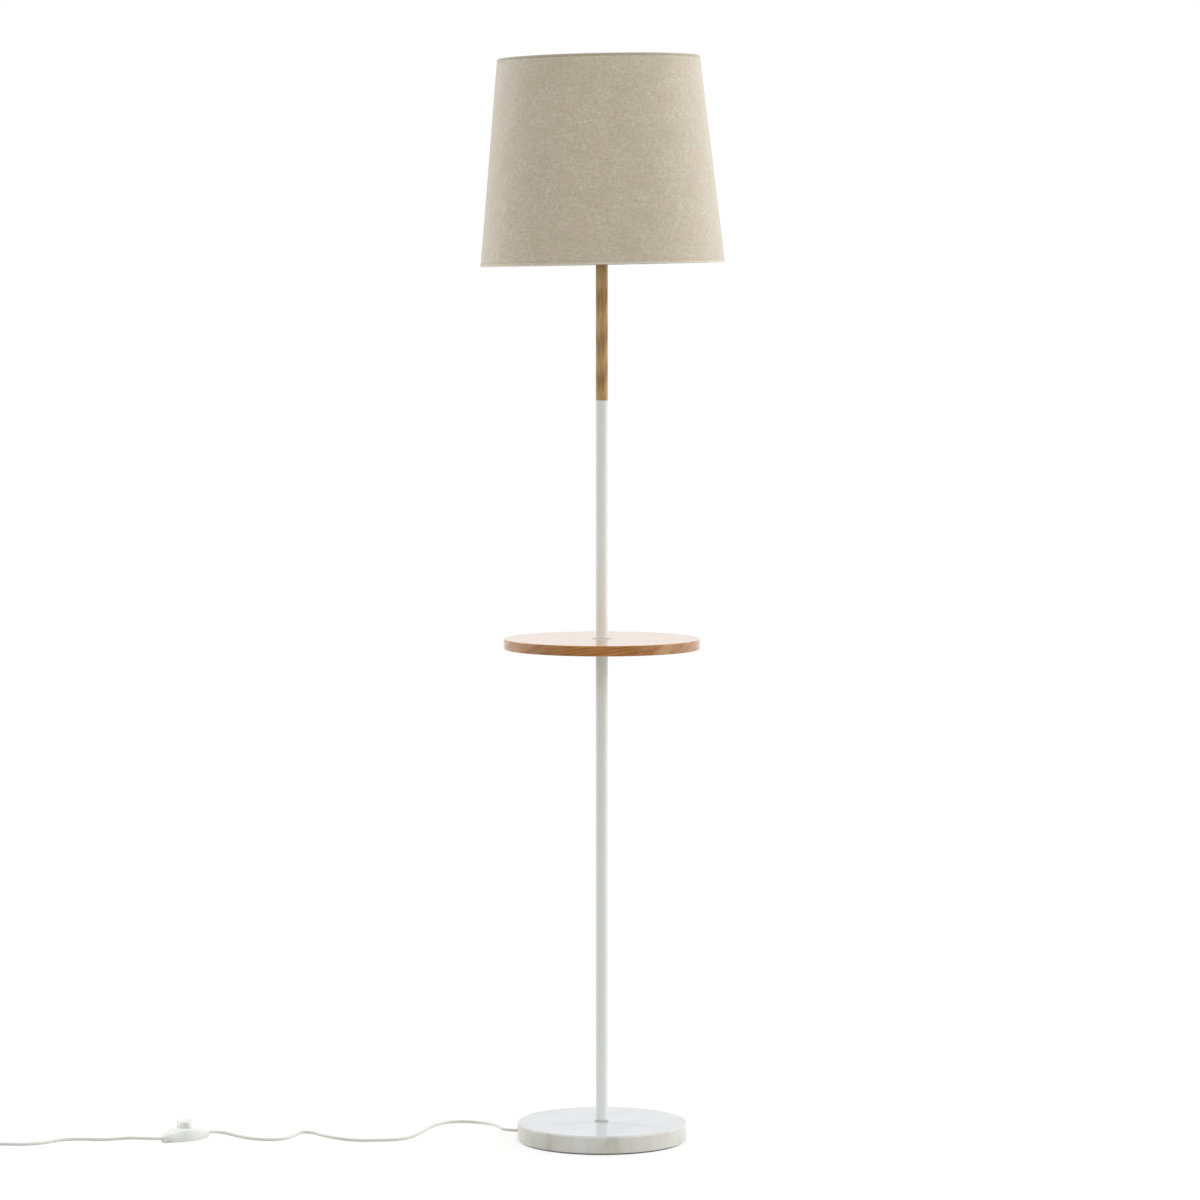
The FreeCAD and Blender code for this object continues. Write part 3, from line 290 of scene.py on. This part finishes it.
def enamel(name, tint, rough=0.42):
    """Sprayed satin paint on metal, with a faint orange peel."""
    tree = Tree(name)
    where = tree.coords()
    speck = tree.noise(where, 900, 2)
    cloud = tree.noise(where, 14)
    colour = tree.mix(tree.spread(cloud, 0.0, 0.25), tint, dimmed(tint, 0.92))
    colour = tree.mix(tree.spread(speck, 0.0, 0.1), colour, dimmed(tint, 0.8))
    return tree.principled(base_color=colour, roughness=tree.spread(speck, rough - 0.04, rough + 0.05),
                           specular_ior_level=0.25,
                           normal=tree.bump(tree.noise(where, 420, 2), 0.02, 0.4 * MM))


GRAIN_PLACES = (0.32, 0.5, 0.68)  # where the dark, middle and light tones of a wood stand


def grain(tree, scale, along, turn):
    """The tone of growth bands with fibres, the fibres alone, and pores.

    along is the shrink of the pattern on each axis, once it is turned.
    """
    turned_board = tree.coords(turn=turn)

    def at(times):
        return tree.mapped(turned_board, dimmed(along, times))

    bands = tree.wave(at(1), scale * 0.4, 6, 3, "Z")
    broad = tree.noise(at(1), scale, 4, 0.65, 0.6)
    fibres = tree.noise(at(4), scale * 1.5, 3, 0.7)
    pores = tree.span(tree.noise(at(3), scale * 3, 2, 0.6), 0.62, 0.74)
    return tree.weighed((bands, 0.16), (broad, 0.5), (fibres, 0.34)), fibres, pores


def timber(tree, colour, fibres, pores, rough, coat):
    """A wood's finish over its colour: fibres stand proud, pores are sunk."""
    height = tree.maths("SUBTRACT", tree.maths("MULTIPLY", fibres, 0.4), pores)
    return tree.principled(base_color=colour, roughness=tree.spread(fibres, rough, rough + 0.12),
                           specular_ior_level=0.15, coat_weight=coat, coat_roughness=0.04, coat_ior=1.32,
                           normal=tree.bump(height, 0.1, 0.4 * MM))


def stem_wood():
    """Satin oak, its grain along the pole."""
    tree = Tree("stem_wood")
    tone, fibres, pores = grain(tree, 300, (1, 1, 0.05), (0, 0, 0))
    dark = srgb(128, 98, 58)
    colour = tree.ramp(tone, GRAIN_PLACES, (dark, srgb(170, 138, 92), srgb(196, 166, 120)))
    colour = tree.mix(pores, colour, dimmed(dark, 0.5), share=0.35)
    return timber(tree, colour, fibres, pores, 0.5, 0.6)


def table_wood():
    """Lacquered oak: lines of growth across the top, a warm edge, and streaky end grain at two sides, painted
    paler and greyer there as a painted reflection of the white surroundings on the grazing edge.
    """
    tree = Tree("table_wood")
    board = tree.mapped(tree.coords(turn=(0, 0, math.radians(-6))), (0.05, 1, 1))
    growth = tree.wave(board, 17, 14, 3, "Y")
    lines = tree.noise(board, 520, 3, 0.6)
    broad = tree.noise(board, 40)
    laid = tree.weighed((growth, 0.22), (lines, 0.5), (broad, 0.28))
    top = tree.ramp(laid, GRAIN_PLACES, (srgb(176, 128, 82), srgb(198, 151, 105), srgb(212, 167, 122)))

    tone, fibres, pores = grain(tree, 150, (0.045, 0.5, 1), (0, math.radians(7), math.radians(8)))
    edge = tree.ramp(tone, GRAIN_PLACES, (srgb(138, 82, 30), srgb(164, 106, 46), srgb(186, 130, 66)))
    # End grain and painted reflection: the two sides of the edge are streaky, and paler and greyer as if
    # mirroring the white surroundings.
    leaning = tree.coords(turn=(0, math.radians(38), 0))
    streaks = tree.noise(tree.mapped(leaning, (22, 30, 150)), 1, 3, 0.6)
    blotch = tree.noise(tree.mapped(leaning, (26, 20, 60)), 1, 2)
    ends = tree.ramp(tree.weighed((streaks, 0.55), (blotch, 0.45)), (0.36, 0.5, 0.64),
                     (srgb(152, 106, 70), srgb(176, 132, 94), srgb(196, 158, 122)))
    end_grain_and_painted_reflection = tree.weighed((tree.sideways("X"), 1.0), (blotch, 0.3))
    edge = tree.mix(tree.span(end_grain_and_painted_reflection, 0.45, 0.9), edge, ends)

    colour = tree.mix(tree.upward(), edge, top)
    colour = tree.mix(pores, colour, srgb(110, 70, 36), share=0.2)
    return timber(tree, colour, fibres, pores, 0.3, 1.0)


def metal(name, tint, rough=0.3, brushed=(1, 1, 30)):
    """Bare metal; brushed is the scale of its streaks on each axis."""
    tree = Tree(name)
    streaks = tree.noise(tree.coords(brushed), 160, 3, 0.6)
    return tree.principled(base_color=tree.mix(streaks, tint, dimmed(tint, 0.75)), metallic=1.0,
                           roughness=tree.spread(streaks, rough - 0.07, rough + 0.1),
                           normal=tree.bump(streaks, 0.05, 0.2 * MM))


def moulded(name, tint, rough=0.35, fine=600, depth=0.06):
    """Moulded opaque plastic with a faint texture."""
    tree = Tree(name)
    where = tree.coords()
    texture = tree.noise(where, fine, 2, 0.6)
    cloud = tree.noise(where, 30, 2)
    colour = tree.mix(tree.spread(cloud, 0.0, 0.2), tint, dimmed(tint, 0.9))
    return tree.principled(base_color=colour, roughness=tree.spread(texture, rough - 0.05, rough + 0.06),
                           normal=tree.bump(texture, depth, 0.3 * MM))


def clear(name, tint, rough, through, fine=300, depth=0.05):
    """Clear or cloudy plastic. Its shadow is let through in part."""
    tree = Tree(name)
    where = tree.coords()
    ripple = tree.noise(where, fine, 2)
    cloud = tree.noise(where, 60)
    colour = tree.mix(tree.spread(cloud), tint, dimmed(tint, 0.9), share=0.3)
    body = tree.add("BsdfPrincipled", {
        "Base Color": colour, "Roughness": tree.spread(ripple, rough - 0.05, rough + 0.06),
        "Transmission Weight": through, "IOR": 1.45, "Normal": tree.bump(ripple, depth, 0.3 * MM)}).outputs[0]
    see_through = tree.add("BsdfTransparent", {"Color": (0.93, 0.93, 0.93)}).outputs[0]
    shadow = tree.maths("MULTIPLY", tree.add("LightPath").outputs["Is Shadow Ray"], 0.75)
    return tree.surface(tree.blend(shadow, body, see_through))


def frosted_globe():
    tree = Tree("frosted_globe")
    frost = tree.noise(tree.coords(), 500, 2)
    colour = tree.mix(tree.spread(frost, 0.0, 0.3), srgb(244, 243, 238), srgb(232, 231, 225))
    return tree.principled(base_color=colour, roughness=0.28, subsurface_weight=0.4,
                           subsurface_radius=(0.01, 0.01, 0.01), subsurface_scale=1.0,
                           normal=tree.bump(frost, 0.03, 0.2 * MM))


def liner_film():
    tree = Tree("liner_film")
    where = tree.coords()
    texture = tree.noise(where, 700, 2)
    cloud = tree.noise(where, 12)
    colour = tree.mix(tree.spread(cloud, 0.0, 0.4), srgb(240, 238, 231), srgb(232, 229, 220))
    return tree.principled(base_color=colour, roughness=tree.spread(texture, 0.42, 0.55),
                           normal=tree.bump(texture, 0.05, 0.2 * MM))


EVEN = (1, 1, 1)  # metal that isn't brushed
paint = {
    "marble": marble(),
    "pad": moulded("pad_foam", srgb(104, 104, 102), 0.85, 900, 0.3),
    "white_lacquer": enamel("white_lacquer", srgb(230, 232, 229)),
    "steel": metal("steel", (0.66, 0.66, 0.65)),
    "zinc": metal("zinc", (0.62, 0.62, 0.6), 0.26, EVEN),
    "brass": metal("brass", (0.78, 0.6, 0.3), 0.22),
    "table_wood": table_wood(),
    "stem_wood": stem_wood(),
    "holder_plastic": moulded("holder_plastic", srgb(232, 231, 226)),
    "bulb_white": moulded("bulb_white", srgb(236, 236, 232), 0.25),
    "bulb_glass": frosted_globe(),
    "liner": liner_film(),
    "shade_wire": enamel("shade_wire", srgb(228, 227, 222), 0.3),
    "clear_cord": clear("clear_cord", srgb(226, 226, 222), 0.3, 0.15),
    "clear_plastic": clear("clear_plastic", srgb(243, 244, 242), 0.42, 0.45, 90, 0.02),
    "grey_plastic": moulded("grey_plastic", srgb(168, 168, 168), 0.4),
    "spring_steel": metal("spring_steel", (0.34, 0.34, 0.35), 0.25, EVEN),
}
slots = {part["node"]: part["material_slot"] for part in frame["record"]["subparts"]}


def dress(thing, material):
    thing.data.materials.clear()
    thing.data.materials.append(material)


for name, node in nodes.items():
    if slots[name] in paint:
        dress(node, paint[slots[name]])
dress(nodes["switch_button"], clear("button_plastic", srgb(250, 251, 250), 0.32, 0.62, 90, 0.02))
dress(nodes["table_washer"], metal("washer_steel", (0.86, 0.87, 0.86), 0.4))

# ---------------------------------------------------------------- meshes

CORNER_STEPS = 8  # on each quarter turn of the rolled rims and the table's eased edges


def piece_of(name, data, body, material, stands_for=()):
    """A piece of the scene that rides on a body and may stand for CAD nodes."""
    thing = bpy.data.objects.new(name, data)
    scene.collection.objects.link(thing)
    dress(thing, material)
    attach(thing, body)
    if stands_for:
        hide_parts(*stands_for)
    return thing


def mesh_of(name, made, sharp):
    """A smooth mesh from a bmesh; edges stay sharp where they turn by more than sharp degrees."""
    mesh = bpy.data.meshes.new(name)
    made.to_mesh(mesh)
    made.free()
    for face in mesh.polygons:
        face.use_smooth = True
    mesh.set_sharp_from_angle(angle=math.radians(sharp))
    return mesh


def thicken(thing, thickness, offset):
    """Give a sheet its thickness; the offset is -1 for inwards and 1 for outwards."""
    solid = thing.modifiers.new("Thickness", "SOLIDIFY")
    solid.thickness = thickness
    solid.offset = offset
    return solid


def quarter_turn():
    return [math.radians(90 * step / CORNER_STEPS) for step in range(CORNER_STEPS + 1)]


def shade_radius(level):
    return RADIUS_LOW + (RADIUS_HIGH - RADIUS_LOW) * (level - SHADE_LOW) / (SHADE_HIGH - SHADE_LOW)


def cloth_profile():
    """Points (radius, height) up the cloth: a lip, a rolled rim and a pressed hem at each end."""
    hem, groove, half_groove = 4.2 * MM, 0.45 * MM, 0.5 * MM
    before, after = 1.2 * MM, 1.4 * MM  # from the groove to where the hem is flat again
    rows = 60

    def rim(level, sign):
        """A quarter turn from the cone in to the lip; sign is 1 at the top."""
        edge = shade_radius(level) - CURL
        bend = [(edge + CURL * math.cos(turn), level + sign * CURL * (math.sin(turn) - 1))
                for turn in quarter_turn()]
        return bend + [(edge + CURL - LIP, level)]

    def pressed(level, sign):
        """The hem's stitched groove, from the rim inwards."""
        steps = ((hem - before, 0.0), (hem - half_groove, groove / 2), (hem, groove),
                 (hem + half_groove, groove / 2), (hem + after, SINK))
        return [(shade_radius(level - sign * up) - depth, level - sign * up) for up, depth in steps]

    start, end = SHADE_LOW + 2 * hem, SHADE_HIGH - 2 * hem
    levels = [start + (end - start) * row / rows for row in range(rows + 1)]
    face = [(shade_radius(level) - SINK, level) for level in levels]
    return (rim(SHADE_LOW, -1)[::-1] + pressed(SHADE_LOW, -1) + face
            + pressed(SHADE_HIGH, 1)[::-1] + rim(SHADE_HIGH, 1))


def unevenness(turn, height):
    """How far the cloth stands out: broad waves round the shade, and finer, weaker ones."""
    broad = math.sin(turn * 7 + height * 31)
    fine = math.sin(turn * 17 - height * 53 + 1)
    return 0.1 * MM * (broad + fine * 0.6)


def linen_cone():
    """The cloth of the shade, closed by a lapped seam at the back."""
    columns, thickness = 360, 0.55 * MM
    seam, lap_width, lap_height = math.radians(90.5), math.radians(5), 0.5 * MM
    lap_edge = 0.0004  # the angle in which the lap steps up
    rim_depth = 1 * MM  # what lies deeper inside the cone than this is lip, and stays even
    profile = cloth_profile()
    along = [0.0]
    for (radius, height), (last, below) in zip(profile[1:], profile):
        along.append(along[-1] + math.hypot(radius - last, height - below))
    turns = [math.tau * column / columns for column in range(columns)] + [seam - lap_edge, seam]
    turns = sorted(turns) + [math.tau]
    made = bmesh.new()
    uv = made.loops.layers.uv.new("Cloth")
    grid = []
    for radius, height in profile:
        row = []
        for turn in turns[:-1]:
            past = turn - seam
            lap = lap_height * (1 - past / lap_width) if 0 <= past < lap_width else 0
            outer = radius > shade_radius(height) - rim_depth
            reach = radius + (unevenness(turn, height) + lap if outer else 0)
            row.append(made.verts.new((reach * math.cos(turn), reach * math.sin(turn), height)))
        grid.append(row + row[:1])
    for number, (below, above) in enumerate(zip(grid, grid[1:])):
        for column in range(len(turns) - 1):
            face = made.faces.new((below[column], below[column + 1], above[column + 1], above[column]))
            corners = ((column, number), (column + 1, number), (column + 1, number + 1), (column, number + 1))
            for loop, (side, level) in zip(face.loops, corners):
                loop[uv].uv = (turns[side] * MEAN_RADIUS, along[level])
    made.normal_update()
    mesh = mesh_of("shade_linen", made, 50)
    mesh.transform(LEAN)
    thing = piece_of("shade_linen", mesh, "shade", linen(), ["shade_cover"])
    thicken(thing, thickness, -1).use_quality_normals = True
    return thing


def turned(name, outline, columns=288):
    """A mesh turned about the pole's axis from a closed outline of (radius, height) points."""
    made = bmesh.new()
    turns = [math.tau * column / columns for column in range(columns)]
    rings = [[made.verts.new((radius * math.cos(turn), radius * math.sin(turn), height)) for turn in turns]
             for radius, height in outline]
    for near, far in zip(rings, rings[1:] + rings[:1]):
        for first, after, far_after, far_first in zip(near, near[1:] + near[:1], far[1:] + far[:1], far):
            made.faces.new((first, after, far_after, far_first))
    bmesh.ops.recalc_face_normals(made, faces=made.faces)
    return mesh_of(name, made, 40)


def table_disc():
    """The table's board, with both edges eased and a bore for the hollow thread."""
    low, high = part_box("table_top")
    radius, bore, eased, edge_band = high.x, 5.25 * MM, 1.5 * MM, 0.3 * MM
    outline = [(bore, low.z), (radius - eased - edge_band, low.z)]
    for level, sign in ((low.z, -1), (high.z, 1)):
        corner = [(radius - eased * (1 - math.cos(turn)), level + sign * eased * (math.sin(turn) - 1))
                  for turn in quarter_turn()]
        corner.insert(0, (radius, level - sign * (eased + edge_band)))
        outline += corner if sign > 0 else corner[::-1]
    outline += [(radius - eased - edge_band, high.z), (bore, high.z)]
    piece_of("table_disc", turned("table_disc", outline), "lamp", paint["table_wood"],
             ["table_top"])


table_disc()
shade = linen_cone()

# ---------------------------------------------------------------- cords

# Routes and the coil are in millimetres, and the pieces made from them in metres.
CORD_WIDTH = 4.4
CORD = CORD_WIDTH * MM
FLOOR = CORD_WIDTH / 2  # the height of a lying cord's middle
CORD_LEAD = 9  # how far the cord runs straight out of the foot and the switch
EXIT_REACH, EXIT_HEIGHT, EXIT_TURN = 125, 9, math.radians(168)
SWITCH, SWITCH_TURN = (-600, 1), math.radians(39.5)
MOUTH_REACH, MOUTH_HEIGHT = 33, 6.5


def exit_point(reach):
    return (reach * math.cos(EXIT_TURN), reach * math.sin(EXIT_TURN), EXIT_HEIGHT)


def switch_point(reach):
    """A point on the switch's long axis, at a reach from its middle."""
    return (SWITCH[0] + reach * math.cos(SWITCH_TURN), SWITCH[1] + reach * math.sin(SWITCH_TURN),
            MOUTH_HEIGHT)


def lying(spots):
    """Route points from places in plan and the lift of the cord off the floor."""
    return [(x, y, FLOOR + lift) for x, y, lift in spots]


foot_route = [exit_point(EXIT_REACH), exit_point(EXIT_REACH + CORD_LEAD)] + lying([
    (-143.2, 35.5, 6.8), (-148, 50, 6.8), (-154, 76, 5.4), (-164, 104, 2.4), (-180, 128, 0.2),
    (-203, 139, 0), (-228, 131, 0), (-246, 104, 0), (-258, 64, 0), (-270, 18, 0),
    (-292, -11, 0), (-326, -15, 0), (-350, -17, 0), (-371, -7, 0), (-389, 8.5, 0),
    (-403, 24, 0), (-413.5, 38, 0), (-421.8, 48.5, 0), (-430, 51, 0), (-437.3, 46.5, 0), (-441.8, 33, 0),
    (-446.8, 16, 0), (-456, -2, 0), (-471, -10.5, 0), (-492, -8.5, 0), (-511, 3, 0), (-527, 19.4, 0.1),
    (-539, 31.8, 0.8), (-549.9, 35.7, 2.2), (-560.6, 33.4, 3.6),
]) + [switch_point(MOUTH_REACH + CORD_LEAD), switch_point(MOUTH_REACH)]

plug_route = [switch_point(-MOUTH_REACH), switch_point(-MOUTH_REACH - CORD_LEAD)] + lying([
    (-642.1, -28.3, 4.7), (-652.7, -25.5, 4.6), (-665.3, -14, 2.8), (-681, -1, 0.8), (-698, -3, 0.1),
    (-717, -12, 0), (-747, -5, 0), (-776, -9, 0), (-801, -38, 0), (-829, -49, 0),
    (-857, -44, 0), (-884, -44.9, 0),
])

# The put-away coil: in on the floor, up a layer at the inside, out again on top.
COIL_X, COIL_Y, COIL_LEAD, COIL_TAIL = -914, -44.9, 6, 16
PITCH, LAYER_TURNS, CLIMB = 4.9, 2.25, 0.5
COIL_MIDDLE = 26.4  # the radius at the middle of the turns
OUTSIDE = COIL_MIDDLE + PITCH * LAYER_TURNS / 2
INSIDE = OUTSIDE - PITCH * LAYER_TURNS
PER_TURN = 24


def coil_point(turn):
    """A point of the coil after a number of turns; share is how much of the climb is done."""
    share = min(max((turn - LAYER_TURNS) / CLIMB, 0), 1)
    if turn < LAYER_TURNS:
        reach = OUTSIDE - PITCH * turn
    elif share < 1:
        reach = INSIDE - PITCH * CLIMB * (share - share ** 2)
    else:
        reach = INSIDE + PITCH * (turn - LAYER_TURNS - CLIMB)
    angle = math.radians(-90 - 360 * turn)
    return (COIL_X + reach * math.cos(angle), COIL_Y + OUTSIDE + reach * math.sin(angle),
            FLOOR + PITCH * (3 * share ** 2 - 2 * share ** 3))


plug_route.append((COIL_X + COIL_LEAD, COIL_Y, FLOOR))
coil_steps = int((2 * LAYER_TURNS + CLIMB) * PER_TURN)
plug_route += [coil_point(step / PER_TURN) for step in range(coil_steps + 1)]
end_x, end_y, end_height = plug_route[-1]
plug_route += [(end_x - COIL_TAIL / 2, end_y, end_height), (end_x - COIL_TAIL, end_y, end_height)]


def round_line(name, spots, width, steps, roundness):
    """A smooth round line along spots in metres; steps are its pieces to a spot."""
    curve = bpy.data.curves.new(name, "CURVE")
    curve.dimensions = "3D"
    spline = curve.splines.new("NURBS")
    spline.points.add(len(spots) - 1)
    for point, spot in zip(spline.points, spots):
        point.co = (*spot, 1)
    spline.order_u = 3
    spline.use_endpoint_u = True
    spline.resolution_u = steps
    curve.bevel_depth = width / 2
    curve.bevel_resolution = roundness
    curve.use_fill_caps = True
    return curve


def cord_piece(name, route, stands_for):
    spots = [(x * MM, y * MM, z * MM) for x, y, z in route]
    curve = round_line(name, spots, CORD, 8, 6)
    return piece_of(name, curve, "lamp", paint["clear_cord"], stands_for)


def button_spring():
    """The spring under the switch's button: its end turns lie flat."""
    low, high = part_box("switch_spring")
    wire, reach, turns, per_turn = 1.0 * MM, 4.2 * MM, 7, 24
    end_turn = 0.75  # the length of each end's flat lay, in turns
    end_rise = wire * 0.9
    rise = high.z - low.z - wire - 2 * end_rise
    spots = []
    for number in range(turns * per_turn + 1):
        turn = number / per_turn
        angle = math.tau * turn
        share = min(max((turn - end_turn) / (turns - 2 * end_turn), 0), 1)
        ends = min(turn / end_turn, 1) + max((turn - turns + end_turn) / end_turn, 0)
        spots.append((SWITCH[0] * MM + reach * math.cos(angle), SWITCH[1] * MM + reach * math.sin(angle),
                      low.z + wire / 2 + end_rise * ends + rise * share))
    line = bpy.data.objects.new("button_spring_line", round_line("button_spring", spots, wire, 3, 4))
    mesh = bpy.data.meshes.new_from_object(line)
    bpy.data.objects.remove(line)
    spring = piece_of("button_spring", mesh, "lamp", paint["spring_steel"], ["switch_spring"])
    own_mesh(spring)
    return spring


foot_cord = cord_piece("foot_cord", foot_route, ["cord_to_switch"])
plug_cord = cord_piece("plug_cord", plug_route, ["cord_to_coil", "cord_coil"])
button_spring()


def coil_tie():
    """A soft strap round the bundle of turns, with its tail laid over it."""
    room, corner, corner_steps, half_width = 0.5, 2.4, 6, 4
    inner, outer = INSIDE - FLOOR - room, OUTSIDE + FLOOR + room
    low, high = 0.55, FLOOR * 2 + PITCH + room
    over = 0.75  # how far the tail lies outside the strap
    loop = []
    for across, up, first in ((outer - corner, high - corner, 0), (inner + corner, high - corner, 90),
                              (inner + corner, low + corner, 180), (outer - corner, low + corner, 270)):
        for step in range(corner_steps + 1):
            turn = math.radians(first + 90 / corner_steps * step)
            loop.append((across + corner * math.cos(turn), up + corner * math.sin(turn)))
    tail = [(inner + 1, high + over), (inner + 4, high + over), (outer - 3, high + over),
            (outer - 0.6, high + 0.2), (outer + over, high - 2), (outer + 1.3, high - 4)]
    made = bmesh.new()
    sides = (-half_width, -half_width / 3, half_width / 3, half_width)
    for path, closed in ((loop, True), (tail, False)):
        rows = [[made.verts.new(((COIL_X + across) * MM, (COIL_Y + OUTSIDE + side) * MM, up * MM))
                 for side in sides] for across, up in path]
        for here, after in zip(rows, rows[1:] + rows[:1] if closed else rows[1:]):
            for left, right, far_right, far_left in zip(here, here[1:], after[1:], after):
                made.faces.new((left, right, far_right, far_left))
    bmesh.ops.recalc_face_normals(made, faces=made.faces)
    cloth = moulded("tie_cloth", srgb(60, 60, 62), 0.85, 1400, 0.5)
    thing = piece_of("coil_tie", mesh_of("coil_tie", made, 60), "lamp", cloth)
    thicken(thing, 0.5 * MM, 1)
    return thing


coil_tie()

# ---------------------------------------------------------------- studio

EYE = Vector((-0.0026, -6.71658, 1.23846))
LOOKS_DOWN = 3.912  # degrees
FOCAL, PICTURE = 4711.45, 1200  # pixels of the photograph
SENSOR = 36
camera = bpy.data.objects.new("Camera", bpy.data.cameras.new("Camera"))
scene.collection.objects.link(camera)
camera.location = EYE
camera.rotation_euler = (math.radians(90 - LOOKS_DOWN), 0, 0)
camera.data.sensor_width = SENSOR
camera.data.lens = FOCAL / PICTURE * SENSOR
camera.data.clip_end = 60
scene.camera = camera


def softbox(name, place, target, size, power, tint=(1, 1, 1)):
    """A rectangular light that faces its target and leaves no mirror image."""
    data = bpy.data.lights.new(name, "AREA")
    data.shape = "RECTANGLE"
    data.size, data.size_y = size
    data.energy = power
    data.color = tint
    lamp = bpy.data.objects.new(name, data)
    scene.collection.objects.link(lamp)
    lamp.location = place
    lamp.visible_glossy = False
    lamp.rotation_euler = (Vector(target) - Vector(place)).to_track_quat("-Z", "Y").to_euler()


softbox("right", (3.3, 1.2, 1.5), (0, 0, 1.0), (1.8, 3.0), 92)
softbox("left", (-2.9, 1.9, 1.5), (0, 0, 1.0), (1.6, 3.0), 72)
softbox("top", (0.2, -0.4, 4.2), (0, 0, 0), (3.0, 3.0), 55, (0.93, 0.97, 1.0))
softbox("front", (0.9, -5.0, 1.6), (0, 0, 0.9), (3.0, 3.0), 50)


def floor_material():
    """Pale matt floor that keeps the shadow near the object and turns plain white further out."""
    tree = Tree("floor")
    where = tree.add("TexCoord").outputs["Object"]
    gap = tree.add("VectorMath", {0: where}, operation="LENGTH").outputs["Value"]
    far = tree.add("MapRange", {"Value": gap, "From Min": 0.35, "From Max": 1.5},
                   interpolation_type="SMOOTHSTEP").outputs[0]
    bounced = tree.add("LightPath").outputs["Is Diffuse Ray"]
    tone = tree.mix(bounced, srgb(250, 250, 250), (0.46, 0.455, 0.43))
    matt = tree.add("BsdfDiffuse", {"Color": tone}).outputs[0]
    white = tree.add("Emission", {"Color": (1, 1, 1), "Strength": 1.0}).outputs[0]
    whiteness = tree.maths("ADD", tree.maths("MULTIPLY", far, 0.3), 0.7)
    return tree.surface(tree.blend(tree.maths("MULTIPLY", tree.seen(), whiteness), matt, white))


def studio_world():
    """Even, faintly yellow light from all round, which looks plain white wherever it is seen."""
    tree = Tree("studio", world=True)
    light = tree.add("Background", {"Color": (1.0, 1.0, 0.97), "Strength": 0.6}).outputs[0]
    white = tree.add("Background", {"Color": (1, 1, 1), "Strength": 1.0}).outputs[0]
    return tree.surface(tree.blend(tree.seen(), light, white))


HALF_FLOOR = 30
corners = [(x * HALF_FLOOR, y * HALF_FLOOR, 0) for x, y in ((-1, -1), (1, -1), (1, 1), (-1, 1))]
floor_mesh = bpy.data.meshes.new("floor")
floor_mesh.from_pydata(corners, [], [(0, 1, 2, 3)])
floor = bpy.data.objects.new("floor", floor_mesh)
scene.collection.objects.link(floor)
floor.data.materials.append(floor_material())

scene.world = studio_world()
scene.view_settings.view_transform = "Standard"
